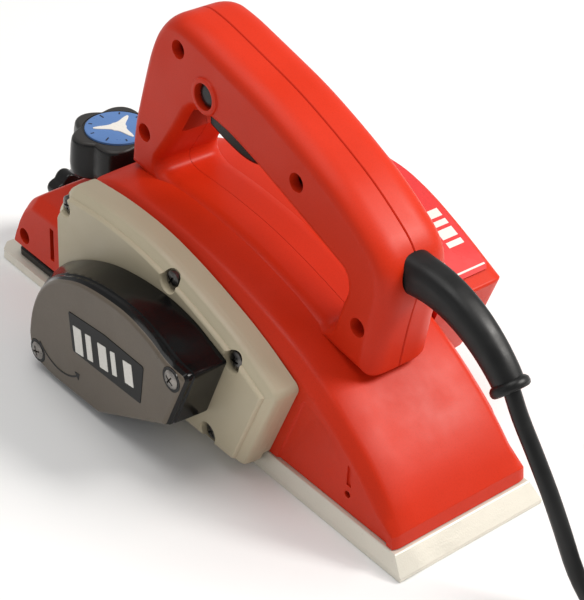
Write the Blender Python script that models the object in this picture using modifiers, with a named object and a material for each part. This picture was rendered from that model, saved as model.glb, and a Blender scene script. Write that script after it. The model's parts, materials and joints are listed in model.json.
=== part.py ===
"""Electric hand planer: an 82 mm belt-driven planer with a depth dial, a D-handle and its mains lead.

Row frame: +X is the planing direction, +Y is the belt-cover side, +Z is up, and the sole lies on z = 0.
Lengths in the constants and in the calls below are millimetres; every mesh is made in metres.
"""

from math import atan2, cos, hypot, pi, radians, sin

import bmesh
import bpy
from mathutils import Matrix, Vector

MM = 0.001
GAP = 0.3

# Soles
SOLE_HALF_WIDTH = 41.0
SOLE_REAR_X = -150.0
SOLE_FRONT_X = 150.0
REAR_SOLE_TOP = 9.0
FRONT_SOLE_TOP = 5.0

# Housing
HOUSING_HALF_WIDTH = 38.0
HOUSING_WALL = 2.6
HOUSING_TOP = [
    (-142, 9.3), (-141, 16), (-132, 27.5), (-119, 39.5), (-96, 55.5), (-73, 66.5), (-54, 73),
    (-35, 78.3), (-13, 83), (15, 86), (40, 86.5), (60, 85), (72, 80.5), (77, 72), (79.5, 52),
    (84, 46.5), (122, 45.5), (129, 41), (136, 29), (139, 12.5),
]
HOUSING_BOTTOM = [(62, 12.5), (58, 9.3)]

# Cutter drum and motor, both turning about Y
DRUM_AXIS = (34.0, 26.7)
DRUM_RADIUS = 25.0
BLADE_TIP_RADIUS = 26.3
MOTOR_AXIS = (-25.0, 48.0)
DRUM_PULLEY_RADIUS = 12.5
MOTOR_PULLEY_RADIUS = 13.5
BELT_THICKNESS = 2.2
BELT_Y = (61.0, 70.0)

# Side frame and belt cover
FRAME_INNER_Y = 38.3
FRAME_PLATE_Y = 41.4
FRAME_FACE_Y = 54.5
COVER_FACE_Y = 78.5
FRAME_OUTLINE = [
    (79, 4.5), (79, 66), (68, 83), (40, 85.5), (10, 84.5), (-20, 78), (-54, 67), (-80, 54),
    (-61, 5.5), (-56, 4.5),
]
FRAME_SCREWS = [(68.5, 73.0), (-10.0, 74.6), (-54.0, 58.5), (-40.0, 12.5)]
COVER_BASE = [
    (75, 9), (77, 33), (66, 45), (47, 56.5), (26, 64.5), (5, 68), (-15, 68.8), (-32, 66), (-43, 61.8),
    (-52.5, 58.5), (-40, 25), (0, 4.5), (45, 2.8), (68, 3.4),
]
COVER_FACE = [
    (63.5, 15), (60.5, 31), (54, 45), (43, 56.5), (23.5, 65.5), (5.5, 68.5), (-13.5, 69.5), (-30.5, 65.5),
    (-41.5, 60.5), (-53.5, 60), (-40.5, 28.5), (8, 4.5), (46, 2.8), (59.5, 5),
]
COVER_SCREWS = [(56.0, 10.5), (-45.5, 55.4)]

# Motor end cover on the right
END_COVER_Y = (-38.3, -79.0)
END_COVER_OUTLINE = [
    (0, 91), (-17, 90.5), (-35, 86), (-57, 77), (-82, 65), (-73, 38), (-64, 18), (-6.5, 18), (-6.5, 47),
    (0, 56),
]
END_COVER_SCREWS = [(-5.0, 72.0), (-67.0, 40.0)]

# Handle: a closed loop in two halves that meet at y = 0
HANDLE_HALF_WIDTH = 18.5
HANDLE_OUTLINE = [
    (70, 83), (68, 105), (60, 134), (56, 147), (51, 158), (44, 166), (35, 170), (22, 168.3), (7, 164.5),
    (-26, 156), (-52, 146), (-71, 137.5), (-84, 130), (-97, 121), (-103, 113), (-104.5, 100), (-101, 84),
    (-97.5, 58),
]
HANDLE_BAR_UNDERSIDE = [
    (-97, 51), (-73, 62.5), (-54, 69), (-35, 74.3), (-13, 79), (15, 82), (40, 82.5), (60, 81), (70, 77.5),
]
HANDLE_WINDOW_TOP = [
    (47, 94), (39, 106), (31, 119), (26, 128), (21, 132.5), (1, 131), (-19, 125), (-50, 113.5),
    (-79, 102.5), (-81, 96), (-78, 88), (-74, 74),
]
HANDLE_WINDOW_FOOT = [(-68, 69.5), (-54, 73.8), (-35, 79.1), (-13, 83.8), (15, 86.8), (40, 87.3), (46, 89)]
HANDLE_SCREWS = [(32.0, 156.0), (56.0, 105.0), (-48.0, 129.5), (-90.0, 82.0)]
LOCK_BUTTON_AT = (13.0, 142.0)

# Depth knob and its screw
KNOB_AXIS = (103.0, 0.0)
KNOB_LOBES = 6
KNOB_CORNER_RADIUS = 24.5
KNOB_WAIST_RADIUS = 20.3
KNOB_Z = (60.5, 80.0)
DIAL_RADIUS = 16.0

# Fence clamp knob on the front
FENCE_KNOB_AT = (2.0, 27.0)
FENCE_KNOB_RADIUS = 11.0

# Mains lead
CORD_DIAMETER = 7.2
CORD_ROUTE = [
    (-159.6, 0, 83.2), (-165, 0.0, 75.0), (-174, -0.3, 63.5), (-184, -1, 49.5), (-193, -2, 34.5),
    (-201, -3.5, 19.5), (-211, -4.8, 8.6), (-222, -5.2, 4.4), (-234.8, -5.0, 4.0),
]
GUARD_ROUTE = [
    (-93, 0, 107.5), (-104, 0, 108.3), (-114, 0, 108.3), (-124, 0, 106.6), (-134, 0, 103),
    (-143.5, 0, 97.6), (-152, 0, 91), (-159, 0, 84),
]
COIL_CENTRE = (-262.0, -53.9)
COIL_MID_RADIUS = 41.5
COIL_HALF_WIDTH = 11.0
COIL_Z = (0.4, 20.4)
PLUG_AT = (-178.0, -102.8)
PLUG_HALF_HEIGHT = 8.0


# ---------------------------------------------------------------- scene and materials


def clear_scene():
    for obj in list(bpy.data.objects):
        bpy.data.objects.remove(obj, do_unlink=True)


def new_collection(name):
    found = bpy.data.collections.new(name)
    bpy.context.scene.collection.children.link(found)
    return found


clear_scene()
PARTS = new_collection("electric_hand_planer")
CUTTERS = new_collection("cutters")
CUTTERS.hide_render = True


def material(name, colour, roughness, metallic=0.0):
    made = bpy.data.materials.new(name)
    made.use_nodes = True
    shader = made.node_tree.nodes["Principled BSDF"]
    shader.inputs["Base Color"].default_value = (*colour, 1.0)
    shader.inputs["Roughness"].default_value = roughness
    shader.inputs["Metallic"].default_value = metallic
    return made


RED = material("red_plastic", (0.72, 0.045, 0.012), 0.42)
BEIGE = material("beige_cast", (0.57, 0.49, 0.34), 0.45)
SOLE = material("machined_aluminium", (0.80, 0.76, 0.66), 0.38, 0.6)
BLACK = material("black_plastic", (0.012, 0.012, 0.013), 0.3)
RUBBER = material("black_rubber", (0.016, 0.016, 0.016), 0.55)
TAUPE = material("cover_plastic", (0.10, 0.085, 0.068), 0.3)
BLUE = material("dial_blue", (0.09, 0.22, 0.50), 0.4)
STEEL = material("steel", (0.55, 0.55, 0.56), 0.3, 1.0)
DARK_STEEL = material("dark_steel", (0.16, 0.16, 0.17), 0.35, 1.0)
COPPER = material("copper", (0.72, 0.34, 0.16), 0.35, 1.0)
CARBON = material("carbon", (0.03, 0.03, 0.032), 0.6)
BRASS = material("brass", (0.70, 0.52, 0.20), 0.3, 1.0)
PINK = material("label_film", (0.75, 0.09, 0.08), 0.35)


# ---------------------------------------------------------------- modelling helpers


def add_mesh(name, bm, mat, collection):
    mesh = bpy.data.meshes.new(name)
    bm.to_mesh(mesh)
    bm.free()
    obj = bpy.data.objects.new(name, mesh)
    collection.objects.link(obj)
    if mat:
        mesh.materials.append(mat)
    if collection is CUTTERS:
        obj.hide_render = True
        obj.display_type = "WIRE"
    return obj


def set_origin(obj, x, y, z):
    """Moves the object's origin to a point in mm and leaves its shape where it is."""
    point = Vector((x, y, z)) * MM
    obj.data.transform(Matrix.Translation(-point))
    obj.location = point


def box(name, low, high, mat=None, collection=None):
    bm = bmesh.new()
    centre = (Vector(low) + Vector(high)) / 2 * MM
    side = (Vector(high) - Vector(low)) * MM
    bmesh.ops.create_cube(bm, size=1.0, matrix=Matrix.Translation(centre) @ Matrix.Diagonal((*side, 1)))
    return add_mesh(name, bm, mat, collection or PARTS)


AXIS_TURNS = {
    "X": Matrix.Rotation(pi / 2, 4, "Y"),
    "Y": Matrix.Rotation(-pi / 2, 4, "X"),
    "Z": Matrix.Identity(4),
}


def rod(name, axis, centre, radius, start, end, mat=None, collection=None, sides=32):
    """A cylinder along X, Y or Z from start to end; centre is the other two coordinates."""
    a, b = centre
    middle = (start + end) / 2
    at = {"X": (middle, a, b), "Y": (a, middle, b), "Z": (a, b, middle)}[axis]
    bm = bmesh.new()
    bmesh.ops.create_cone(
        bm, cap_ends=True, segments=sides, radius1=radius * MM, radius2=radius * MM, depth=(end - start) * MM,
        matrix=Matrix.Translation(Vector(at) * MM) @ AXIS_TURNS[axis],
    )
    return add_mesh(name, bm, mat, collection or PARTS)


def loft(name, rings, mat=None, collection=None):
    """A solid through rings of points in mm, each ring with as many points as the first."""
    bm = bmesh.new()
    rows = [[bm.verts.new(Vector(point) * MM) for point in ring] for ring in rings]
    for first, second in zip(rows, rows[1:]):
        for i in range(len(first)):
            j = (i + 1) % len(first)
            bm.faces.new((first[i], first[j], second[j], second[i]))
    bm.faces.new(rows[0])
    bm.faces.new(rows[-1])
    bmesh.ops.recalc_face_normals(bm, faces=bm.faces)
    bmesh.ops.triangulate(bm, faces=bm.faces)
    return add_mesh(name, bm, mat, collection or PARTS)


def side_ring(outline, y):
    """An x-z outline stood up at one y."""
    return [(x, y, z) for x, z in outline]


def plate(name, outline, start, end, mat=None, collection=None):
    """An x-z outline extruded along Y."""
    return loft(name, [side_ring(outline, start), side_ring(outline, end)], mat, collection)


def inset(outline, distance):
    """The closed outline moved inwards by a distance (outwards when negative), corners mitred."""
    area = sum(a[0] * b[1] - b[0] * a[1] for a, b in zip(outline, outline[1:] + outline[:1]))
    inward = distance if area > 0 else -distance
    moved = []
    for i, corner in enumerate(outline):
        before = Vector(corner) - Vector(outline[i - 1])
        after = Vector(outline[(i + 1) % len(outline)]) - Vector(corner)
        first = Vector((-before.y, before.x)).normalized()
        second = Vector((-after.y, after.x)).normalized()
        mitre = (first + second) / (1 + first.dot(second))
        moved.append(tuple(Vector(corner) + inward * mitre))
    return moved


def cut(obj, *cutters):
    return combine(obj, "DIFFERENCE", cutters)


def join(obj, *others):
    return combine(obj, "UNION", others)


def combine(obj, operation, others):
    for other in others:
        modifier = obj.modifiers.new(operation.lower(), "BOOLEAN")
        modifier.operation = operation
        modifier.solver = "EXACT"
        modifier.object = other
    return obj


def bevel(obj, width, segments=2, angle=40):
    modifier = obj.modifiers.new("bevel", "BEVEL")
    modifier.width = width * MM
    modifier.segments = segments
    modifier.limit_method = "ANGLE"
    modifier.angle_limit = radians(angle)
    return obj


def apply_modifiers(obj):
    """Leaves the object with the mesh that its modifiers make."""
    graph = bpy.context.evaluated_depsgraph_get()
    mesh = bpy.data.meshes.new_from_object(obj.evaluated_get(graph))
    obj.modifiers.clear()
    obj.data = mesh
    return obj


def turned(name, profile, axis, centre, mat=None, collection=None, steps=32):
    """A Screw-modifier solid; the profile is (radius, position) from the top of the outer side down."""
    a, b = centre
    at = {"X": (0, a, b), "Y": (a, 0, b), "Z": (a, b, 0)}[axis]
    mesh = bpy.data.meshes.new(name)
    points = [(radius * MM, 0, position * MM) for radius, position in profile]
    mesh.from_pydata(points, [(i, i + 1) for i in range(len(points) - 1)], [])
    obj = bpy.data.objects.new(name, mesh)
    (collection or PARTS).objects.link(obj)
    obj.matrix_world = Matrix.Translation(Vector(at) * MM) @ AXIS_TURNS[axis]
    if mat:
        mesh.materials.append(mat)
    screw = obj.modifiers.new("screw", "SCREW")
    screw.steps = steps
    screw.render_steps = steps
    screw.use_merge_vertices = True
    screw.merge_threshold = 0.00001
    if collection is CUTTERS:
        obj.hide_render = True
        obj.display_type = "WIRE"
    return obj


def ring(name, axis, centre, outer, inner, start, end, mat, steps=32):
    """A plain sleeve, made as a rod with a bore."""
    sleeve = rod(name, axis, centre, outer, start, end, mat, sides=steps)
    bore = rod(name + "_bore", axis, centre, inner, start - 1, end + 1, None, CUTTERS, steps)
    return cut(sleeve, bore)


def smooth_route(points, steps):
    """Points on a smooth curve (centripetal Catmull-Rom) through the route's own points."""
    held = [Vector(p) for p in points]
    held = [2 * held[0] - held[1], *held, 2 * held[-1] - held[-2]]
    made = []
    for p0, p1, p2, p3 in zip(held, held[1:], held[2:], held[3:]):
        t1 = (p1 - p0).length ** 0.5
        t2 = t1 + (p2 - p1).length ** 0.5
        t3 = t2 + (p3 - p2).length ** 0.5
        for k in range(steps):
            t = t1 + (t2 - t1) * k / steps
            a1 = p0 * (t1 - t) / t1 + p1 * t / t1
            a2 = p1 * (t2 - t) / (t2 - t1) + p2 * (t - t1) / (t2 - t1)
            a3 = p2 * (t3 - t) / (t3 - t2) + p3 * (t - t2) / (t3 - t2)
            b1 = a1 * (t2 - t) / t2 + a2 * t / t2
            b2 = a2 * (t3 - t) / (t3 - t1) + a3 * (t - t1) / (t3 - t1)
            made.append(b1 * (t2 - t) / (t2 - t1) + b2 * (t - t1) / (t2 - t1))
    made.append(held[-2])
    return made


def tube(name, points, radius, mat, resolution=2, radii=None):
    """A POLY curve with a round bevel and filled caps; radii scales it point by point."""
    curve = bpy.data.curves.new(name, "CURVE")
    curve.dimensions = "3D"
    curve.bevel_depth = radius * MM
    curve.bevel_resolution = resolution
    curve.use_fill_caps = True
    spline = curve.splines.new("POLY")
    spline.points.add(len(points) - 1)
    for i, point in enumerate(points):
        spline.points[i].co = (*(Vector(point) * MM), 1)
        spline.points[i].radius = radii[i] if radii else 1.0
    obj = bpy.data.objects.new(name, curve)
    curve.materials.append(mat)
    PARTS.objects.link(obj)
    return obj


def curve_to_mesh(obj):
    """Swaps a curve object for a mesh object of the same name, with its caps welded on."""
    name = obj.name
    graph = bpy.context.evaluated_depsgraph_get()
    graph.update()
    mesh = bpy.data.meshes.new_from_object(obj.evaluated_get(graph))
    bm = bmesh.new()
    bm.from_mesh(mesh)
    bmesh.ops.remove_doubles(bm, verts=bm.verts, dist=1e-6)
    bmesh.ops.recalc_face_normals(bm, faces=bm.faces)
    bm.to_mesh(mesh)
    bm.free()
    swapped = bpy.data.objects.new(name + "_mesh", mesh)
    swapped.matrix_world = obj.matrix_world
    bpy.data.objects.remove(obj, do_unlink=True)
    swapped.name = name
    PARTS.objects.link(swapped)
    return swapped


def screw_along_y(name, at, head_y, head_radius, head_length, shank_radius, tip_y, mat=DARK_STEEL):
    """A pan-head screw driven towards -Y (or +Y when tip_y is the larger), with a cross slot in its head."""
    inward = -1 if tip_y < head_y else 1
    under_head = head_y + inward * head_length
    head = rod(name, "Y", at, head_radius, *sorted((head_y, under_head)), mat, sides=12)
    shank_ends = sorted((tip_y, under_head - inward))
    shank = rod(name + "_shank", "Y", at, shank_radius, *shank_ends, None, CUTTERS, 8)
    x, z = at
    slots = []
    for i, (half_x, half_z) in enumerate(((0.5, 2.1), (2.1, 0.5))):
        outer = head_y - inward
        depth = head_y + inward * 1.2
        slots.append(box(
            f"{name}_slot_{i}", (x - half_x, min(outer, depth), z - half_z),
            (x + half_x, max(outer, depth), z + half_z), None, CUTTERS,
        ))
    join(head, shank)
    return cut(head, *slots)


# ---------------------------------------------------------------- soles


def make_rear_base():
    lengthwise = [
        (SOLE_REAR_X, 0), (SOLE_REAR_X, 1.8), (SOLE_REAR_X + 6.7, REAR_SOLE_TOP),
        (13, REAR_SOLE_TOP), (20, 0),
    ]
    base = plate("rear_base", lengthwise, -SOLE_HALF_WIDTH, SOLE_HALF_WIDTH, SOLE)
    right_flank = [(-SOLE_HALF_WIDTH, -1), (-SOLE_HALF_WIDTH, 2.2), (-38.7, REAR_SOLE_TOP + 1)]
    across = right_flank + [(-y, z) for y, z in reversed(right_flank)]
    section = loft(
        "rear_base_section", [[(x, y, z) for y, z in across] for x in (SOLE_REAR_X - 5, 25)], None, CUTTERS
    )
    combine(base, "INTERSECT", [section])
    foot = box("cheek_foot", (-5, -40.9, 5), (6, -36, 15), None, CUTTERS)
    arm = box("cheek_arm", (-5, -50, 13.5), (6, -36, 46), None, CUTTERS)
    wall = box("cheek_wall", (0, -50, 13.5), (58, -41.6, 46), None, CUTTERS)
    cap = rod("cheek_cap", "Y", DRUM_AXIS, 28.6, -50, -41.6, None, CUTTERS, 48)
    floor_trim = box("cheek_floor_trim", (-20, -60, -10), (80, -41.3, 13.5), None, CUTTERS)
    seat = rod("cheek_seat", "Y", DRUM_AXIS, 9.6, -48.6, -40, None, CUTTERS, 32)
    join(base, foot, arm, wall, cut(cap, floor_trim))
    return cut(base, seat)


def make_front_base():
    lengthwise = [
        (52, 0), (56, FRONT_SOLE_TOP), (SOLE_FRONT_X - 4, FRONT_SOLE_TOP),
        (SOLE_FRONT_X, 2.2), (SOLE_FRONT_X, 0),
    ]
    base = plate("front_base", lengthwise, -SOLE_HALF_WIDTH, SOLE_HALF_WIDTH, SOLE)
    corner = 5.0
    for side in (-1, 1):
        edge = side * (SOLE_HALF_WIDTH + 1)
        back = edge - side * (corner + 1)
        nose = [
            (SOLE_FRONT_X - corner, edge), (SOLE_FRONT_X + 1, edge), (SOLE_FRONT_X + 1, back),
            (SOLE_FRONT_X - 0.1, back), (SOLE_FRONT_X - 1.6, edge - side * (corner - 2.4)),
            (SOLE_FRONT_X - corner + 0.8, edge - side * 1.2),
        ]
        trim = loft(f"front_base_trim_{side}", [[(x, y, z) for x, y in nose] for z in (-1, 7)], None, CUTTERS)
        cut(base, trim)
    return base


def make_front_base_carrier():
    carrier = box("front_base_carrier", (62, -36.6, FRONT_SOLE_TOP + GAP), (138, 36.6, 9.2), BLACK)
    slide = box("carrier_slide", (64, -34.6, 8.5), (122, 34.6, 18), None, CUTTERS)
    boss = rod("carrier_boss", "Z", KNOB_AXIS, 8.5, 17, 29, None, CUTTERS, 24)
    bore = rod("carrier_bore", "Z", KNOB_AXIS, 4.3, 0, 32, None, CUTTERS, 24)
    join(carrier, slide, boss)
    return cut(carrier, bore)


# ---------------------------------------------------------------- housing


def crowned(outline, y, drop):
    """The housing's outline at one y, its upper points lowered by the crown's drop there."""
    return [(x, y, max(z - drop, 9.3) if z > 20 else z) for x, z in outline]


def make_main_housing():
    outline = HOUSING_TOP + HOUSING_BOTTOM
    left, right = HOUSING_HALF_WIDTH - 0.1, -HOUSING_HALF_WIDTH
    stations = [
        (right, 6.0), (-35.5, 3.0), (-30, 1.2), (-18, 0.0), (18, 0.0), (30, 1.2), (35.5, 3.0), (left, 6.0),
    ]
    housing = loft("main_housing", [crowned(outline, y, drop) for y, drop in stations], RED)
    inside = inset(outline, HOUSING_WALL)
    low = len(HOUSING_TOP)
    cavity_outline = [inside[0][:1] + (-5,)] + inside[1:low - 1] + [inside[low - 1][:1] + (-5,)]
    hollow_stations = [(-35.4, 4.2), (-30, 1.6), (-18, 0.2), (18, 0.2), (30, 1.6), (35.4, 4.2)]
    hollow_rings = [
        [(x, y, z - drop if z > 20 else z) for x, z in cavity_outline] for y, drop in hollow_stations
    ]
    cavity = loft("housing_cavity", hollow_rings, None, CUTTERS)
    cutters = [cavity]
    cutters.append(rod("motor_mouth_left", "Y", MOTOR_AXIS, 28.0, 30, 40, None, CUTTERS, 40))
    cutters.append(rod("drum_mouth_left", "Y", DRUM_AXIS, 28.0, 30, 40, None, CUTTERS, 40))
    cutters.append(box("drum_mouth_foot", (8, 30, -6), (60, 40, 20), None, CUTTERS))
    cutters.append(rod("motor_mouth_right", "Y", MOTOR_AXIS, 28.0, -40, -30, None, CUTTERS, 40))
    cutters.append(box("cheek_window", (-5.4, -40, -6), (61, -30, 46.4), None, CUTTERS))
    cutters.append(rod("drum_mouth_right", "Y", DRUM_AXIS, 28.0, -40, -30, None, CUTTERS, 48))
    cutters.append(box("chip_window", (31.6, -40, 55.6), (70.4, -30, 72.9), None, CUTTERS))
    cutters.append(rod("knob_bore", "Z", KNOB_AXIS, 5.0, 30, 60, None, CUTTERS, 24))
    cutters.append(rod("fence_rod_hole", "Y", (129.5, 19.5), 4.2, 30, 40, None, CUTTERS, 24))
    cutters.append(box("side_slot", (103.2, 34, 18), (106.4, 40, 36), None, CUTTERS))
    cutters.append(box("rear_mark_slot", (-113.0, 34, 22.5), (-110.2, 40, 33.5), None, CUTTERS))
    cutters.append(rod("rear_mark_hole", "Y", (-111.3, 18.0), 1.7, 34, 40, None, CUTTERS, 16))
    cutters.append(rod("fence_screw_hole", "X", FENCE_KNOB_AT, 3.0, 120, 141, None, CUTTERS, 16))
    for i, at in enumerate(FRAME_SCREWS):
        cutters.append(rod(f"housing_frame_hole_{i}", "Y", at, 2.3, 34, 40, None, CUTTERS, 16))
    for i, at in enumerate(END_COVER_SCREWS):
        cutters.append(rod(f"housing_cover_hole_{i}", "Y", at, 2.3, -40, -34, None, CUTTERS, 16))
    for i in range(5):
        x = -132.0 + 6.5 * i
        cutters.append(box(f"vent_{i}", (x, -40, 13), (x + 2.6, -34, 20 + 3.2 * i), None, CUTTERS))
    slot_outline = [(70.6, 100), (70.6, 70), (-98, 40), (-98, 100)]
    slot_half = HANDLE_HALF_WIDTH + 0.4
    cutters.append(plate("handle_slot", slot_outline, -slot_half, slot_half, None, CUTTERS))
    collar = rod("knob_collar", "Z", KNOB_AXIS, 15, 43.5, 48.3, None, CUTTERS, 32)
    join(housing, collar)
    return cut(housing, *cutters)


def make_side_frame():
    flange_outline = [(79, 9.4)] + FRAME_OUTLINE[1:7] + [(-80, 54), (-62.6, 9.4)]
    rim = [
        side_ring(FRAME_OUTLINE, FRAME_PLATE_Y), side_ring(FRAME_OUTLINE, 46),
        side_ring(inset(FRAME_OUTLINE, 1.6), 50.5), side_ring(inset(FRAME_OUTLINE, 6.0), FRAME_FACE_Y),
    ]
    frame = loft("side_frame", rim, BEIGE)
    flange = plate("frame_flange", flange_outline, FRAME_INNER_Y, FRAME_PLATE_Y + 0.5, None, CUTTERS)
    join(frame, flange)
    cutters = [
        rod("frame_drum_recess", "Y", DRUM_AXIS, 27.2, 30, 41.9, None, CUTTERS, 40),
        rod("frame_drum_seat", "Y", DRUM_AXIS, 11.3, 40, 50.2, None, CUTTERS, 32),
        rod("frame_drum_shaft_hole", "Y", DRUM_AXIS, 8.0, 45, 60, None, CUTTERS, 32),
        rod("frame_motor_seat", "Y", MOTOR_AXIS, 11.3, 30, 50.2, None, CUTTERS, 32),
        rod("frame_motor_shaft_hole", "Y", MOTOR_AXIS, 8.0, 45, 60, None, CUTTERS, 32),
    ]
    for i, at in enumerate(FRAME_SCREWS):
        cutters.append(rod(f"frame_recess_{i}", "Y", at, 5.0, 49.5, 60, None, CUTTERS, 24))
        cutters.append(rod(f"frame_hole_{i}", "Y", at, 2.3, 35, 55, None, CUTTERS, 16))
    for i, at in enumerate(COVER_SCREWS):
        cutters.append(rod(f"frame_cover_hole_{i}", "Y", at, 2.3, 44, 60, None, CUTTERS, 16))
    return cut(frame, *cutters)


def make_belt_cover():
    inner_y = FRAME_FACE_Y + GAP
    mid = [tuple((Vector(a) + 2 * Vector(b)) / 3) for a, b in zip(COVER_BASE, COVER_FACE)]
    rings = [
        side_ring(COVER_BASE, inner_y),
        side_ring(inset(mid, -0.8), 70.5),
        side_ring(inset(COVER_FACE, -0.4), COVER_FACE_Y - 2.2),
        side_ring(inset(COVER_FACE, 1.6), COVER_FACE_Y),
    ]
    cover = loft("belt_cover", rings, TAUPE)
    wall = 2.2
    hollow = loft(
        "belt_cover_hollow",
        [side_ring(inset(COVER_BASE, wall), inner_y - 1), side_ring(inset(mid, wall - 0.6), 70.5),
         side_ring(inset(COVER_FACE, wall), COVER_FACE_Y - 2.4)],
        None, CUTTERS,
    )
    cut(cover, hollow)
    for i, at in enumerate(COVER_SCREWS):
        boss = rod(f"cover_boss_{i}", "Y", at, 4.4, inner_y, COVER_FACE_Y - 1, None, CUTTERS, 20)
        hole = rod(f"cover_hole_{i}", "Y", at, 2.3, inner_y - 2, COVER_FACE_Y + 1, None, CUTTERS, 16)
        seat = rod(f"cover_seat_{i}", "Y", at, 4.7, COVER_FACE_Y - 2, COVER_FACE_Y + 1, None, CUTTERS, 20)
        join(cover, boss)
        cut(cover, hole, seat)
    return cover


def make_motor_end_cover():
    inner, outer = END_COVER_Y
    rings = [
        side_ring(END_COVER_OUTLINE, inner),
        side_ring(END_COVER_OUTLINE, outer + 3.5),
        side_ring(inset(END_COVER_OUTLINE, 1.0), outer + 1.0),
        side_ring(inset(END_COVER_OUTLINE, 3.0), outer),
    ]
    cover = loft("motor_end_cover", rings, RED)
    hollow = plate("end_cover_hollow", inset(END_COVER_OUTLINE, 2.8), outer + 3.0, inner + 1, None, CUTTERS)
    cut(cover, hollow)
    socket = rod("end_cover_socket", "Y", MOTOR_AXIS, 12.5, outer + 2.5, -65.5, None, CUTTERS, 32)
    seat = rod("end_cover_seat", "Y", MOTOR_AXIS, 9.3, outer + 4.0, -60, None, CUTTERS, 32)
    join(cover, socket)
    cut(cover, seat)
    for i, at in enumerate(END_COVER_SCREWS):
        boss = rod(f"end_cover_boss_{i}", "Y", at, 4.6, outer + 2, inner, None, CUTTERS, 20)
        hole = rod(f"end_cover_hole_{i}", "Y", at, 2.3, outer - 1, inner + 1, None, CUTTERS, 16)
        seat = rod(f"end_cover_recess_{i}", "Y", at, 4.2, outer - 1, outer + 4, None, CUTTERS, 20)
        join(cover, boss)
        cut(cover, hole, seat)
    for i in range(4):
        z = 30.0 + 6.0 * i
        cut(cover, box(f"end_vent_{i}", (-53, outer - 1, z), (-41, outer + 4, z + 2.6), None, CUTTERS))
    return cover


def make_label_plate():
    arc = [(-8, 91.2), (-17, 90.9), (-35, 86.4), (-57, 77.4), (-76, 68.4)]
    thickness = 0.7
    outline = [(x, z + 0.1) for x, z in arc] + [(x, z + 0.1 + thickness) for x, z in reversed(arc)]
    return plate("label_plate", outline, -46, -73, PINK)


def make_chip_chute():
    chute = box("chip_chute", (32, -46, 56), (70, -29, 72.5), BLACK)
    bore = box("chip_chute_bore", (34, -50, 58), (68, -20, 70.5), None, CUTTERS)
    return cut(chute, bore)


# ---------------------------------------------------------------- handle


def softened(moving, fixed, distance):
    """A closed outline with its first points moved inwards and the rest left where they are."""
    moved = inset(moving + fixed, distance)
    return moved[:len(moving)] + fixed


def handle_rings(moving, fixed, steps):
    """The outline at each y, its edges softened by the distance given there, on both sides."""
    mirrored = [(-y, distance) for y, distance in reversed(steps)]
    return [side_ring(softened(moving, fixed, distance), y) for y, distance in mirrored + steps]


def make_handle_halves():
    w = HANDLE_HALF_WIDTH
    wall = 3.4
    outer_steps = [(w - 7, 0), (w - 3.2, 1.1), (w - 1, 3.4), (w, 6.5)]
    body = loft("handle_blank", handle_rings(HANDLE_OUTLINE, HANDLE_BAR_UNDERSIDE, outer_steps), RED, CUTTERS)
    window_steps = [(w - 4, 0), (w - 1.2, -1.0), (w + 0.2, -3.2)]
    window_rings = handle_rings(HANDLE_WINDOW_TOP, HANDLE_WINDOW_FOOT, window_steps)
    cut(body, loft("handle_window", window_rings, None, CUTTERS))
    room_floor = [(-98, 62), (-73, 72), (-13, 90), (40, 94), (67, 92)]
    room_outline = inset(HANDLE_OUTLINE[1:-1] + room_floor, wall)
    room = plate("handle_room", room_outline, 3.6 - w, w - 3.6, None, CUTTERS)
    keep_outline = inset(HANDLE_WINDOW_TOP + HANDLE_WINDOW_FOOT, -wall)
    cut(room, plate("handle_room_keep", keep_outline, -w, w, None, CUTTERS))
    cut(body, room)
    apply_modifiers(body)
    for i, at in enumerate(HANDLE_SCREWS):
        join(body, rod(f"handle_boss_{i}", "Y", at, 5.6, 2.5 - w, w - 2.5, None, CUTTERS, 20))
    cutters = [
        box("trigger_slot", (-22, -7.4, 115), (26.4, 7.4, 141), None, CUTTERS),
        rod("lock_button_hole", "Y", LOCK_BUTTON_AT, 6.1, 5, 25, None, CUTTERS, 24),
        rod("cord_guard_hole", "X", (0, 108), 8.9, -112, -92, None, CUTTERS, 32),
    ]
    for i, at in enumerate(HANDLE_SCREWS):
        cutters.append(rod(f"handle_recess_{i}", "Y", at, 3.9, 7.5, 25, None, CUTTERS, 20))
        cutters.append(rod(f"handle_hole_{i}", "Y", at, 2.1, -12.5, 10, None, CUTTERS, 16))
    cut(body, *cutters)
    apply_modifiers(body)
    halves = []
    for name, low, high in (("handle_left", 0.15, 40), ("handle_right", -40, -0.15)):
        half = bpy.data.objects.new(name, body.data.copy())
        PARTS.objects.link(half)
        keep_side = box(name + "_side", (-150, low, 0), (150, high, 200), None, CUTTERS)
        combine(half, "INTERSECT", [keep_side])
        halves.append(half)
    bpy.data.objects.remove(body, do_unlink=True)
    return halves


def make_trigger():
    outline = [
        (24.8, 119.5), (25.4, 128), (25.4, 137.5), (14, 137.6), (-8, 135.6), (-17, 133), (-21, 127),
        (-16.5, 118.5), (-9, 114), (0, 113.2), (12, 115.5),
    ]
    trigger = plate("trigger", outline, -7.0, 7.0, BLACK)
    bevel(trigger, 1.0, 1, 50)
    set_origin(trigger, -17, 0, 130)
    return trigger


def make_switch_body():
    return bevel(box("switch_body", (-30.5, -9.5, 138.3), (-3, 9.5, 148.4), BLACK), 0.8, 1)


def make_lock_button():
    button = rod("lock_button", "Y", LOCK_BUTTON_AT, 5.6, 10.4, 17.6, BLACK, sides=24)
    bevel(button, 0.8, 2)
    return button


def make_cord_clamp():
    return box("cord_clamp", (-91, -9, 95), (-85, 9, 98), STEEL)


# ---------------------------------------------------------------- depth knob


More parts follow.
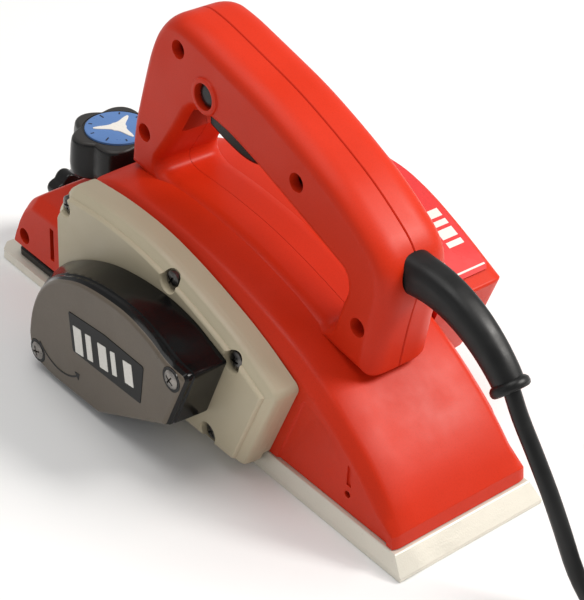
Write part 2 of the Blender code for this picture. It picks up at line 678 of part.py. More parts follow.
def lobed_ring(radius_scale, z):
    """One level of the six-cornered knob: flat-topped corners with hollow sides between them."""
    cx, cy = KNOB_AXIS
    corner_phase = radians(20)
    shoulder, flank = KNOB_CORNER_RADIUS - 0.4, KNOB_WAIST_RADIUS + 0.9
    lobe_shape = (
        (-7, shoulder), (0, KNOB_CORNER_RADIUS), (7, shoulder), (18, flank), (30, KNOB_WAIST_RADIUS),
        (42, flank),
    )
    made = []
    for lobe in range(KNOB_LOBES):
        corner = corner_phase + lobe * 2 * pi / KNOB_LOBES
        for turn, radius in lobe_shape:
            angle = corner + radians(turn)
            r = radius * radius_scale
            made.append((cx + r * cos(angle), cy + r * sin(angle), z))
    return made


def make_depth_knob():
    low, high = KNOB_Z
    levels = [(0.93, low), (0.99, low + 1.2), (1.0, high - 2.4), (0.97, high - 0.8), (0.91, high)]
    knob = loft("depth_knob", [lobed_ring(scale, z) for scale, z in levels], BLACK)
    neck = rod("knob_neck", "Z", KNOB_AXIS, 11, 48.8, low + 1, None, CUTTERS, 24)
    bore = rod("knob_screw_bore", "Z", KNOB_AXIS, 4.3, 40, 66.4, None, CUTTERS, 24)
    seat_radius = DIAL_RADIUS + 0.4
    recess = rod("knob_dial_recess", "Z", KNOB_AXIS, seat_radius, high - 0.8, high + 5, None, CUTTERS, 32)
    join(knob, neck)
    cut(knob, bore, recess)
    set_origin(knob, *KNOB_AXIS, 0)
    return knob


def make_dial_plate():
    dial = rod("dial_plate", "Z", KNOB_AXIS, DIAL_RADIUS, KNOB_Z[1] - 0.5, KNOB_Z[1] + 0.9, BLUE, sides=32)
    set_origin(dial, *KNOB_AXIS, 0)
    return dial


def make_depth_screw():
    screw = rod("depth_screw", "Z", KNOB_AXIS, 4.0, 9.2, 66, STEEL, sides=16)
    set_origin(screw, *KNOB_AXIS, 0)
    return screw


def make_depth_spring():
    turns, per_turn = 4, 9
    low, high, radius = 30.0, 41.8, 7.6
    cx, cy = KNOB_AXIS
    count = turns * per_turn
    points = []
    for i in range(count + 1):
        angle = 2 * pi * i / per_turn
        points.append((cx + radius * cos(angle), cy + radius * sin(angle), low + (high - low) * i / count))
    return tube("depth_spring", points, 0.65, STEEL, 1)


def make_fence_clamp_knob():
    knob = rod("fence_clamp_knob", "X", FENCE_KNOB_AT, FENCE_KNOB_RADIUS, 139.6, 149.0, BLACK, sides=24)
    bevel(knob, 1.5, 2)
    stem = rod("fence_clamp_stem", "X", FENCE_KNOB_AT, 2.6, 122, 141, None, CUTTERS, 12)
    join(knob, stem)
    return knob


# ---------------------------------------------------------------- cutter drum and its drive


def slot_box(name, half_width, inner, outer, side, shift, collection, mat=None, length=41.0):
    """A bar along the drum, from one radius to another on the +X or -X side of its axis."""
    x, z = DRUM_AXIS
    near, far = sorted((x + side * inner, x + side * outer))
    low = (near, -length, z + shift - half_width)
    high = (far, length, z + shift + half_width)
    return box(name, low, high, mat, collection)


def make_cutter_drum():
    x, z = DRUM_AXIS
    drum = rod("cutter_drum", "Y", DRUM_AXIS, DRUM_RADIUS, -41, 41, SOLE, sides=40)
    for i, (radius, start, end) in enumerate(((7.5, -42.4, 42.9), (4.0, -48.2, 72.0))):
        join(drum, rod(f"drum_shaft_{i}", "Y", DRUM_AXIS, radius, start, end, None, CUTTERS, 24))
    for side in (-1, 1):
        cut(drum, slot_box(f"drum_slot_{side}", 4.2, 16.5, 28, side, 0, CUTTERS, None, 42))
    set_origin(drum, x, 0, z)
    return drum


def make_blades():
    for number, side in ((1, 1), (2, -1)):
        blade = slot_box(f"blade_{number}", 0.6, 17.2, BLADE_TIP_RADIUS - 0.2, side, side * 3.2, PARTS, STEEL)
        clamp = slot_box(f"blade_clamp_{number}", 3.0, 16.9, 24.2, side, -side * 0.9, PARTS, DARK_STEEL, 40.4)
        bevel(clamp, 0.6, 1)
        for piece in (blade, clamp):
            set_origin(piece, DRUM_AXIS[0], 0, DRUM_AXIS[1])


def make_bearing(name, axis_at, outer, inner, start, end):
    return ring(name, "Y", axis_at, outer, inner, start, end, STEEL, 28)


def make_pulley(name, axis_at, tread, bore):
    start, end = BELT_Y
    flange = tread + 2.6
    profile = [
        (bore, end + 1.6), (flange, end + 1.6), (flange, end + 0.5), (tread, end + 0.5), (tread, start - 0.5),
        (flange, start - 0.5), (flange, start - 1.6), (bore, start - 1.6), (bore, end + 1.6),
    ]
    return turned(name, profile, "Y", axis_at, DARK_STEEL, None, 24)


def belt_ring(offset):
    """A loop round both pulleys at this distance off their treads."""
    (mx, mz), (dx, dz) = MOTOR_AXIS, DRUM_AXIS
    motor_r, drum_r = MOTOR_PULLEY_RADIUS + offset, DRUM_PULLEY_RADIUS + offset
    heading = atan2(dz - mz, dx - mx)
    spread = atan2((motor_r - drum_r), hypot(dx - mx, dz - mz))
    steps = 14
    wraps = (
        ((dx, dz), drum_r, heading - pi / 2 + spread, pi - 2 * spread),
        ((mx, mz), motor_r, heading + pi / 2 - spread, pi + 2 * spread),
    )
    made = []
    for centre, radius, start, sweep in wraps:
        for i in range(steps + 1):
            angle = start + sweep * i / steps
            made.append((centre[0] + radius * cos(angle), centre[1] + radius * sin(angle)))
    return made


def make_drive_belt():
    low, high = BELT_Y
    belt = plate("drive_belt", belt_ring(BELT_THICKNESS + GAP), low, high, RUBBER)
    hole = plate("drive_belt_hole", belt_ring(GAP), low - 1, high + 1, None, CUTTERS)
    return cut(belt, hole)


# ---------------------------------------------------------------- motor


def make_armature():
    profile = [
        (0, 72), (4.2, 72), (4.2, 51.5), (5, 51.5), (5, 20), (17.6, 20), (17.6, -24), (5, -24), (5, -64.5),
        (3.8, -64.5), (3.8, -73.5), (0, -73.5),
    ]
    return turned("armature", profile, "Y", MOTOR_AXIS, DARK_STEEL, None, 24)


def make_commutator():
    return ring("commutator", "Y", MOTOR_AXIS, 12.0, 5.3, -57.5, -40.0, COPPER, 32)


def make_fan():
    fan = ring("fan", "Y", MOTOR_AXIS, 10.0, 5.3, 24.0, 35.0, BLACK, 24)
    disc = rod("fan_disc", "Y", MOTOR_AXIS, 25.0, 33.0, 35.0, None, CUTTERS, 32)
    hole = rod("fan_disc_hole", "Y", MOTOR_AXIS, 5.3, 20, 40, None, CUTTERS, 24)
    join(fan, disc)
    x, z = MOTOR_AXIS
    for i in range(8):
        vane = box(f"fan_vane_{i}", (8.5, 25, -0.8), (24.5, 33.5, 0.8), None, CUTTERS)
        vane.data.transform(Matrix.Translation(Vector((x, 0, z)) * MM) @ Matrix.Rotation(i * pi / 4, 4, "Y"))
        join(fan, vane)
    return cut(fan, hole)


def make_field_stator():
    return ring("field_stator", "Y", MOTOR_AXIS, 27.2, 18.4, -24.0, 20.0, DARK_STEEL, 40)


def make_brush_gear():
    x, z = MOTOR_AXIS
    for number, side in ((1, 1), (2, -1)):
        ends = sorted((z + side * 13.5, z + side * 25.5))
        holder = box(f"brush_holder_{number}", (x - 5.5, -54.5, ends[0]), (x + 5.5, -43.0, ends[1]), BRASS)
        room = box(f"brush_room_{number}", (x - 3.6, -52.4, z - 30), (x + 3.6, -45.1, z + 30), None, CUTTERS)
        cut(holder, room)
        reach = sorted((z + side * 12.4, z + side * 24.0))
        box(f"carbon_brush_{number}", (x - 3.2, -52.0, reach[0]), (x + 3.2, -45.5, reach[1]), CARBON)


# ---------------------------------------------------------------- mains lead


def make_cord_guard():
    route = smooth_route(GUARD_ROUTE, 2)
    count = len(route) - 1
    radii = [1.0 - 0.24 * min(1.0, i / count) for i in range(count + 1)]
    guard = curve_to_mesh(tube("cord_guard", route, 8.4, RUBBER, 3, radii))
    end = Vector(GUARD_ROUTE[-1])
    heading = (end - Vector(GUARD_ROUTE[-2])).normalized()
    bm = bmesh.new()
    turn = heading.to_track_quat("Z", "Y").to_matrix().to_4x4()
    bmesh.ops.create_cone(
        bm, cap_ends=True, segments=24, radius1=8.2 * MM, radius2=8.2 * MM, depth=3.4 * MM,
        matrix=Matrix.Translation((end - heading * 1.6) * MM) @ turn,
    )
    flange = add_mesh("guard_flange", bm, None, CUTTERS)
    return join(guard, flange)


def make_cord():
    return tube("cord", smooth_route(CORD_ROUTE, 3), CORD_DIAMETER / 2, RUBBER, 2)


def make_cord_coil():
    low, high = COIL_Z
    inner, outer = COIL_MID_RADIUS - COIL_HALF_WIDTH, COIL_MID_RADIUS + COIL_HALF_WIDTH
    lip = 2.5
    profile = [
        (inner + lip, high), (outer - lip, high), (outer, high - lip), (outer, low + lip), (outer - lip, low),
        (inner + lip, low), (inner, low + lip), (inner, high - lip), (inner + lip, high),
    ]
    return turned("cord_coil", profile, "Z", COIL_CENTRE, RUBBER, None, 28)


def make_plug():
    x, y = PLUG_AT
    h = PLUG_HALF_HEIGHT
    sections = [
        (-24, 4.6, 4.6), (-22, 5.4, 5.2), (-8, 8.5, 6.6), (0, 13.5, h - 0.2), (12, 14.5, h),
        (16, 15.5, h), (20, 15.5, h),
    ]
    rings = []
    for along, half_y, half_z in sections:
        corners = []
        for i in range(16):
            angle = 2 * pi * (i + 0.5) / 16
            flat = 0.62
            corners.append((
                x + along,
                y + half_y * (abs(cos(angle)) ** flat) * (1 if cos(angle) > 0 else -1),
                h + 0.3 + half_z * (abs(sin(angle)) ** flat) * (1 if sin(angle) > 0 else -1),
            ))
        rings.append(corners)
    plug = loft("plug_body", rings, RUBBER)
    for number, side in ((1, 1), (2, -1)):
        at = (y + side * 9.5, h + 0.3)
        socket = rod(f"plug_socket_{number}", "X", at, 2.7, x + 12, x + 30, None, CUTTERS, 16)
        cut(plug, socket)
        pin = rod(f"plug_pin_{number}", "X", at, 2.4, x + 12.4, x + 39, BRASS, sides=16)
        bevel(pin, 0.8, 2)
    return plug


# ---------------------------------------------------------------- fasteners


def make_fasteners():
    for i, at in enumerate(HANDLE_SCREWS):
        screw_along_y(f"handle_screw_{i + 1}", at, 10.2, 3.4, 2.4, 1.7, -12.0)
    for i, at in enumerate(FRAME_SCREWS):
        screw_along_y(f"frame_screw_{i + 1}", at, 52.6, 4.2, 2.7, 1.9, 33.0)
    for i, at in enumerate(COVER_SCREWS):
        screw_along_y(f"cover_screw_{i + 1}", at, COVER_FACE_Y + 0.6, 4.3, 2.3, 1.9, 45.0, STEEL)
    for i, at in enumerate(END_COVER_SCREWS):
        outer = END_COVER_Y[1]
        screw_along_y(f"end_cover_screw_{i + 1}", at, outer + 0.9, 3.7, 2.7, 1.9, -33.0)


# ---------------------------------------------------------------- assembly


def main():
    make_rear_base()
    make_front_base()
    make_front_base_carrier()
    make_main_housing()
    make_side_frame()
    make_belt_cover()
    make_motor_end_cover()
    make_label_plate()
    make_chip_chute()
    make_handle_halves()
    make_trigger()
    make_switch_body()
    make_lock_button()
    make_cord_clamp()
    make_depth_knob()
    make_dial_plate()
    make_depth_screw()
    make_depth_spring()
    make_fence_clamp_knob()
    make_cutter_drum()
    make_blades()
    make_bearing("drum_bearing_left", DRUM_AXIS, 11.0, 4.3, 43.4, 50.0)
    make_bearing("drum_bearing_right", DRUM_AXIS, 9.3, 4.3, -48.4, -42.8)
    make_bearing("motor_bearing_left", MOTOR_AXIS, 11.0, 5.3, 42.5, 50.0)
    make_bearing("motor_bearing_right", MOTOR_AXIS, 9.0, 4.1, -73.0, -65.8)
    make_pulley("drum_pulley", DRUM_AXIS, DRUM_PULLEY_RADIUS, 4.3)
    make_pulley("motor_pulley", MOTOR_AXIS, MOTOR_PULLEY_RADIUS, 4.5)
    make_drive_belt()
    make_armature()
    make_commutator()
    make_fan()
    make_field_stator()
    make_brush_gear()
    make_cord_guard()
    make_cord()
    make_cord_coil()
    make_plug()
    make_fasteners()


main()
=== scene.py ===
"""Looks of the electric hand planer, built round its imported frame.

Lengths in the constants and calls are millimetres in the row frame (+X the planing direction, +Y the
belt-cover side, +Z up, sole at z = 0); every mesh is made in metres.
"""

import json
from math import acos, cos, pi, radians, sin, sqrt, tan

import bmesh
import bpy
from mathutils import Matrix, Vector

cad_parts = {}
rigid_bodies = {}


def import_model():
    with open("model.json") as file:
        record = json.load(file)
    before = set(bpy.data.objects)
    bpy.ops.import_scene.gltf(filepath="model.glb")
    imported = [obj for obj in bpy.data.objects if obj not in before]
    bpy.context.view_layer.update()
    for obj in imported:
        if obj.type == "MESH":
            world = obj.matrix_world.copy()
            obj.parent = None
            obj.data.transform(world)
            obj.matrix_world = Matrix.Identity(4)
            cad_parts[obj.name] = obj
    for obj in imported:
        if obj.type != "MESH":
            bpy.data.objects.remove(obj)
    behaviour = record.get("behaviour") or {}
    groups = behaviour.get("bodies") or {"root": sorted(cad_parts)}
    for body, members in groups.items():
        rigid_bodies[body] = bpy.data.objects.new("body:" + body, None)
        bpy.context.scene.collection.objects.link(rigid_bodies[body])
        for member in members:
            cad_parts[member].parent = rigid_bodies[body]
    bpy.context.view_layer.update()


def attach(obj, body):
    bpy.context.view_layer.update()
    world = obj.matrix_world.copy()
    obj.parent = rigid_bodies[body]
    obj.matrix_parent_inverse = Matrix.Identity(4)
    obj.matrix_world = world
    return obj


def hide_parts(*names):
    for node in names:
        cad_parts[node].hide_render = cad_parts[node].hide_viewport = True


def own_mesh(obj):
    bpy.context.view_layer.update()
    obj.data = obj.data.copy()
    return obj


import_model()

MM = 0.001
ROOT = "machine"

# Camera
CAMERA_AT = (-514.24, 431.01, 497.41)
CAMERA_YAW = -41.596
CAMERA_PITCH = 34.329
CAMERA_ROLL = 3.266
CAMERA_LENS = 107.4

# Shared sizes
SOLE_HALF_WIDTH = 41
SOLE_REAR_X, SOLE_FRONT_X = -150, 150
REAR_SOLE_TOP, FRONT_SOLE_TOP = 9, 5
HANDLE_HALF_WIDTH = 18.5
DRUM_AXIS = (34, 26.7)
MOTOR_AXIS = (-25, 48)
FRAME_FACE_Y = 54.5
COVER_FACE_Y = 78.5
END_COVER_OPEN_Y, END_COVER_FACE_Y = -38.3, -79
KNOB_AXIS = (103, 0)
KNOB_Z = (60.5, 80)
FENCE_KNOB_AT = (2, 27)

# Outlines in x and z; a third number is the corner's radius, and a corner without one is smoothed
HOUSING_OUTLINE = [
    (-142, 9.3, 0.3), (-141, 16, 1.2), (-132, 27.5), (-119, 39.5), (-96, 55.5), (-73, 66.5), (-54, 73),
    (-35, 78.3), (-13, 83), (15, 86), (40, 86.5), (60, 85), (72, 80.5, 4), (77, 72), (79.5, 52, 3),
    (84, 46.5, 3), (122, 45.5, 5), (129, 41), (136, 29), (139, 12.5, 0.8), (62, 12.5, 0.3), (58, 9.3, 0.3),
]
FRAME_OUTLINE = [
    (79, 4.5, 3), (79, 66, 9), (68, 83, 8), (40, 85.5), (10, 84.5), (-20, 78), (-54, 67), (-80, 54, 3.5),
    (-61, 5.5, 3), (-56, 4.5, 3),
]
FRAME_SCREWS = [(68.5, 73), (-10, 74.6), (-54, 58.5), (-40, 12.5)]
COVER_BASE = [
    (75, 9, 3), (77, 33, 4), (66, 45), (47, 56.5), (26, 64.5), (5, 68), (-15, 68.8), (-32, 66), (-43, 61.8),
    (-52.5, 58.5, 1.2), (-40, 25, 1.2), (0, 4.5, 2), (45, 2.8), (68, 3.4, 3),
]
COVER_FACE = [
    (63.5, 15), (60.5, 31), (54, 45), (43, 56.5), (23.5, 65.5), (5.5, 68.5), (-13.5, 69.5), (-30.5, 65.5),
    (-41.5, 60.5), (-53.5, 60, 1.5), (-40.5, 28.5, 1.2), (8, 4.5, 2), (46, 2.8), (59.5, 5),
]
COVER_SCREWS = [(56, 10.5), (-45.5, 55.4)]
END_COVER_OUTLINE = [
    (0, 91, 1.5), (-17, 90.5), (-35, 86), (-57, 77), (-82, 65, 1.5), (-73, 38), (-64, 18, 3),
    (-6.5, 18, 2), (-6.5, 47, 2), (0, 56, 2),
]
END_COVER_SCREWS = [(-5, 72), (-67, 40)]
HANDLE_OUTLINE = [
    (70, 83, 1), (68, 105), (60, 134), (56, 147), (51, 158), (44, 166), (35, 170), (22, 168.3), (7, 164.5),
    (-26, 156), (-52, 146), (-71, 137.5), (-84, 130), (-97, 121), (-103, 113), (-104.5, 100), (-101, 84),
    (-97.5, 58, 2),
]
HANDLE_BAR_UNDERSIDE = [
    (-97, 51, 0.3), (-73, 62.5), (-54, 69), (-35, 74.3), (-13, 79), (15, 82), (40, 82.5), (60, 81),
    (70, 77.5),
]
HANDLE_WINDOW_TOP = [
    (47, 94), (39, 106), (31, 119), (26, 128), (21, 132.5), (1, 131), (-19, 125), (-50, 113.5),
    (-79, 102.5, 5), (-81, 96), (-78, 88), (-74, 74, 3),
]
HANDLE_WINDOW_FOOT = [
    (-68, 69.5), (-54, 73.8), (-35, 79.1), (-13, 83.8), (15, 86.8), (40, 87.3), (46, 89),
]
HANDLE_SCREWS = [(32, 156), (56, 105), (-48, 129.5), (-90, 82)]
LOCK_BUTTON_AT = (13, 142)
LABEL_ARC = [(-8, 91.2), (-17, 90.9), (-35, 86.4), (-57, 77.4), (-76, 68.4)]
BADGE_FIELD = [(29.6, 47.6, 1.2), (26.6, 27.6, 1.2), (-24.4, 29.6, 1.2), (-26.6, 50.4, 1.2), (2, 50.6, 8)]

# Mains lead
CORD_DIAMETER = 7.2
CORD_ROUTE = [
    (-159.6, 0, 83.2), (-165, 0, 75), (-174, -0.3, 63.5), (-184, -1, 49.5), (-193, -2, 34.5),
    (-201, -3.5, 19.5), (-211, -4.8, 8.6), (-222, -5.2, 4.4), (-234.8, -5, 4),
]
GUARD_ROUTE = [
    (-93, 0, 107.5), (-104, 0, 108.3), (-114, 0, 108.3), (-124, 0, 106.6), (-134, 0, 103),
    (-143.5, 0, 97.6), (-152, 0, 91), (-159, 0, 84),
]
COIL_CENTRE = (-262, -53.9)
COIL_PITCH = 7.3
COIL_OUTER_TURN = 48.85
PLUG_AT = (-178, -102.8)
PLUG_HALF_HEIGHT = 8
ACROSS = Vector((0, 1, 0))


def add_object(name, data):
    obj = bpy.data.objects.new(name, data)
    bpy.context.scene.collection.objects.link(obj)
    return obj


# ---- camera, light and floor


def look_axes():
    yaw, pitch, roll = radians(CAMERA_YAW), radians(CAMERA_PITCH), radians(CAMERA_ROLL)
    ahead = Vector((cos(pitch) * cos(yaw), cos(pitch) * sin(yaw), -sin(pitch)))
    right = Vector((sin(yaw), -cos(yaw), 0))
    up = right.cross(ahead)
    return ahead, cos(roll) * right + sin(roll) * up, cos(roll) * up - sin(roll) * right


def make_camera():
    data = bpy.data.cameras.new("camera")
    data.lens = CAMERA_LENS
    data.sensor_width = 36
    data.clip_start = 0.01
    camera = add_object("camera", data)
    ahead, right, up = look_axes()
    turn = Matrix((right, up, -ahead)).transposed().to_4x4()
    camera.matrix_world = Matrix.Translation(Vector(CAMERA_AT) * MM) @ turn
    bpy.context.scene.camera = camera


def area_light(name, at, target, size, watts, colour):
    data = bpy.data.lights.new(name, "AREA")
    data.shape = "DISK"
    data.size = size
    data.energy = watts
    data.color = colour
    light = add_object(name, data)
    aim = Vector(target) - Vector(at)
    light.matrix_world = Matrix.Translation(Vector(at)) @ aim.to_track_quat("-Z", "Y").to_matrix().to_4x4()


def make_lights():
    area_light("key", (-0.75, -0.95, 1.25), (0, 0, 0.08), 0.7, 25, (1, 0.97, 0.93))
    area_light("top", (0.15, 0.15, 1.5), (0, 0, 0.05), 1, 7, (1, 0.99, 0.97))
    area_light("fill", (0.2, 1.4, 0.55), (0, 0, 0.06), 0.9, 0.8, (0.96, 0.98, 1))
    world = bpy.data.worlds.new("studio")
    world.use_nodes = True
    background = world.node_tree.nodes["Background"]
    background.inputs["Color"].default_value = (1, 1, 1, 1)
    background.inputs["Strength"].default_value = 0.40
    bpy.context.scene.world = world
    bpy.context.scene.view_settings.view_transform = "Standard"


def make_floor():
    bm = bmesh.new()
    bmesh.ops.create_grid(bm, x_segments=1, y_segments=1, size=6)
    mesh = bpy.data.meshes.new("floor")
    bm.to_mesh(mesh)
    bm.free()
    floor = add_object("floor", mesh)
    floor.location.z = -0.0002
    pale = bpy.data.materials.new("floor")
    pale.use_nodes = True
    shader = pale.node_tree.nodes["Principled BSDF"]
    shader.inputs["Base Color"].default_value = (0.93, 0.93, 0.93, 1)
    shader.inputs["Roughness"].default_value = 0.8
    mesh.materials.append(pale)


# ---- materials


class Nodes:
    """A short way to add and link shader nodes."""

    def __init__(self, name):
        self.material = bpy.data.materials.new(name)
        self.material.use_nodes = True
        self.tree = self.material.node_tree
        self.shader = self.tree.nodes["Principled BSDF"]
        self.place = self.add("ShaderNodeTexCoord").outputs["Object"]

    def add(self, kind, **settings):
        node = self.tree.nodes.new(kind)
        for key, value in settings.items():
            setattr(node, key, value)
        return node

    def link(self, source, target):
        self.tree.links.new(source, target)

    def noise(self, scale, detail, rough=0.55, stretch=None):
        node = self.add("ShaderNodeTexNoise")
        node.inputs["Scale"].default_value = scale
        node.inputs["Detail"].default_value = detail
        node.inputs["Roughness"].default_value = rough
        source = self.place
        if stretch:
            mapping = self.add("ShaderNodeMapping")
            mapping.inputs["Scale"].default_value = stretch
            self.link(source, mapping.inputs["Vector"])
            source = mapping.outputs["Vector"]
        self.link(source, node.inputs["Vector"])
        return node.outputs["Fac"]

    def spread(self, value, low, high, start=0, end=1):
        """Maps a value's range start..end to low..high."""
        node = self.add("ShaderNodeMapRange")
        node.inputs["From Min"].default_value = start
        node.inputs["From Max"].default_value = end
        node.inputs["To Min"].default_value = low
        node.inputs["To Max"].default_value = high
        self.link(value, node.inputs["Value"])
        return node.outputs["Result"]

    def mix(self, factor, first, second):
        node = self.add("ShaderNodeMix", data_type="RGBA")
        for socket, value in ((node.inputs[0], factor), (node.inputs[6], first), (node.inputs[7], second)):
            if isinstance(value, bpy.types.NodeSocket):
                self.link(value, socket)
            elif isinstance(value, tuple):
                socket.default_value = (*value, 1)
            else:
                socket.default_value = value
        return node.outputs[2]

    def edges(self, radius, start, end):
        """1 on convex and concave edges, 0 on flats, from the difference that a bevel makes to the normal."""
        bevel = self.add("ShaderNodeBevel", samples=4)
        bevel.inputs["Radius"].default_value = radius
        plain = self.add("ShaderNodeNewGeometry").outputs["Normal"]
        dot = self.add("ShaderNodeVectorMath", operation="DOT_PRODUCT")
        self.link(bevel.outputs["Normal"], dot.inputs[0])
        self.link(plain, dot.inputs[1])
        return self.spread(dot.outputs["Value"], 1, 0, start, end)

    def bump(self, *layers):
        """Each layer is (height value, distance in metres)."""
        normal = None
        for height, distance in layers:
            node = self.add("ShaderNodeBump")
            node.inputs["Strength"].default_value = 1
            node.inputs["Distance"].default_value = distance
            self.link(height, node.inputs["Height"])
            if normal:
                self.link(normal, node.inputs["Normal"])
            normal = node.outputs["Normal"]
        self.link(normal, self.shader.inputs["Normal"])

    def colour(self, value):
        self.link(value, self.shader.inputs["Base Color"])

    def rough(self, value):
        self.link(value, self.shader.inputs["Roughness"])

    def fixed(self, **values):
        for key, value in values.items():
            self.shader.inputs[key.replace("_", " ")].default_value = value


def scaled(colour, factor, lift=0):
    return tuple(min(1, c * factor + lift) for c in colour)


def moulded_plastic(name, colour, roughness, grain_depth, grain, variation, worn=0, sheen=0.35):
    """Spark-textured moulded plastic: fine grain, slight tone drift, and edges a little paler where worn."""
    n = Nodes(name)
    dark, light = scaled(colour, 1 - variation), scaled(colour, 1 + variation, 0.003)
    tone = n.mix(n.spread(n.noise(22, 2), 0, 1, 0.3, 0.7), dark, light)
    speck = n.mix(n.spread(n.noise(grain * 0.6, 1), 0, 0.35, 0.45, 0.75), tone, scaled(colour, 0.8))
    if worn:
        speck = n.mix(n.spread(n.edges(0.0007, 0.90, 1), 0, worn), speck, scaled(colour, 1.25, 0.03))
    n.colour(speck)
    n.rough(n.spread(n.noise(55, 4), roughness - 0.06, roughness + 0.07, 0.3, 0.7))
    n.bump((n.noise(grain, 2), grain_depth), (n.noise(70, 2), 0.00004))
    n.fixed(Specular_IOR_Level=sheen)
    return n.material


def cast_metal(name, colour, roughness, metallic, pit_depth, dirt, mill=None):
    """Cast or milled metal: pits, a faint directional finish when mill is set, and darker dirt in patches."""
    n = Nodes(name)
    tone = n.mix(n.spread(n.noise(16, 3), 0, 1, 0.35, 0.7), colour, scaled(colour, 0.93))
    pits = n.spread(n.noise(900, 3, 0.7), 0, 1, 0.60, 0.72)
    n.colour(n.mix(n.spread(pits, 0, dirt), tone, scaled(colour, 0.82)))
    n.rough(n.spread(n.noise(90, 4), roughness - 0.08, roughness + 0.10, 0.3, 0.7))
    layers = [(n.noise(1400, 3), pit_depth)]
    if mill:
        layers.append((n.noise(1, 3, 0.5, mill), 0.00003))
    n.bump(*layers)
    n.fixed(Metallic=metallic)
    return n.material


def turned_steel(name, colour, roughness):
    """Machined steel: fine scratches and a slightly uneven sheen."""
    n = Nodes(name)
    n.colour(n.mix(n.spread(n.noise(300, 4), 0, 1, 0.35, 0.65), colour, scaled(colour, 0.8)))
    n.rough(n.spread(n.noise(700, 3), roughness - 0.07, roughness + 0.09, 0.3, 0.7))
    n.bump((n.noise(1, 2, 0.5, (900, 60, 900)), 0.00001))
    n.fixed(Metallic=1)
    return n.material


def rubber(name, colour, roughness):
    """Black rubber: matte, with a dusty bloom and a fine uneven surface."""
    n = Nodes(name)
    dusty = scaled(colour, 1.9, 0.003)
    n.colour(n.mix(n.spread(n.noise(45, 5, 0.65), 0, 0.7, 0.42, 0.78), colour, dusty))
    n.rough(n.spread(n.noise(120, 4), roughness - 0.09, roughness + 0.1, 0.3, 0.7))
    n.bump((n.noise(1500, 2), 0.00002), (n.noise(160, 3), 0.00004))
    n.fixed(Specular_IOR_Level=0.35)
    return n.material


def make_materials():
    # Plastics: name, colour, roughness, grain depth, grain, variation, worn edges, sheen
    plastics = {
        "red": ("red_plastic", (0.62, 0.026, 0.004), 0.40, 0.00002, 2600, 0.04, 0.15, 0.2),
        "black": ("black_plastic", (0.006, 0.006, 0.006), 0.26, 0.00002, 2600, 0.2, 0.1, 0.3),
        "taupe": ("cover_face_plastic", (0.125, 0.100, 0.074), 0.33, 0.00001, 2200, 0.06, 0.2),
        "gloss": ("cover_side_plastic", (0.004, 0.004, 0.004), 0.17, 0.000004, 1500, 0.2, 0, 0.2),
        "knob_top": ("knob_top_plastic", (0.030, 0.028, 0.026), 0.38, 0.00002, 2600, 0.12, 0.2),
        "blue": ("dial_blue", (0.10, 0.21, 0.47), 0.33, 0.00001, 1800, 0.12),
        "white": ("off_white_print", (0.76, 0.74, 0.69), 0.4, 0.00001, 1500, 0.04),
        "label": ("label_film", (0.70, 0.045, 0.045), 0.26, 0.000006, 1200, 0.05),
        "ink": ("dark_ink", (0.02, 0.02, 0.03), 0.4, 0.00001, 1500, 0.1),
    }
    steels = {
        "screw": ("screw_steel", (0.30, 0.28, 0.26), 0.3),
        "steel": ("bright_steel", (0.60, 0.60, 0.61), 0.28),
        "dark_steel": ("blackened_steel", (0.13, 0.125, 0.12), 0.30),
        "copper": ("copper", (0.80, 0.42, 0.25), 0.30),
        "brass": ("brass", (0.75, 0.57, 0.26), 0.26),
    }
    rubbers = {
        "rubber": ("black_rubber", (0.005, 0.005, 0.005), 0.42),
        "cord": ("cord_sheath", (0.006, 0.006, 0.006), 0.38),
        "carbon": ("carbon", (0.03, 0.03, 0.032), 0.55),
    }
    mats = {
        "beige": cast_metal("beige_coated_casting", (0.54, 0.47, 0.33), 0.42, 0, 0.00004, 0.35),
        "sole": cast_metal("sole_casting", (0.78, 0.74, 0.64), 0.40, 0.25, 0.00006, 0.5, (700, 40, 40)),
    }
    for kind, looks in ((moulded_plastic, plastics), (turned_steel, steels), (rubber, rubbers)):
        mats.update({key: kind(*look) for key, look in looks.items()})
    return mats


# ---- modelling helpers


def turn_angle(before, corner, after):
    first = (corner - before).normalized()
    second = (after - corner).normalized()
    return acos(max(-1, min(1, first.dot(second))))


def mitred(points, distance):
    """The corners moved inwards by a distance, and for each whether it is convex."""
    area = sum(a.x * b.y - b.x * a.y for a, b in zip(points, points[1:] + points[:1]))
    inward = 1 if area > 0 else -1
    moved = []
    convex = []
    for i, corner in enumerate(points):
        before = (corner - points[i - 1]).normalized()
        after = (points[(i + 1) % len(points)] - corner).normalized()
        first = Vector((-before.y, before.x))
        second = Vector((-after.y, after.x))
        moved.append(corner + inward * distance * (first + second) / (1 + first.dot(second)))
        convex.append((before.x * after.y - before.y * after.x) * inward > 0)
    return moved, convex


def corner_radius(points, i):
    """The radius that smooths a corner over most of its shorter side."""
    before, corner, after = points[i - 1], points[i], points[(i + 1) % len(points)]
    reach = 0.47 * min((corner - before).length, (after - corner).length)
    return reach / max(1e-4, tan(turn_angle(before, corner, after) / 2))


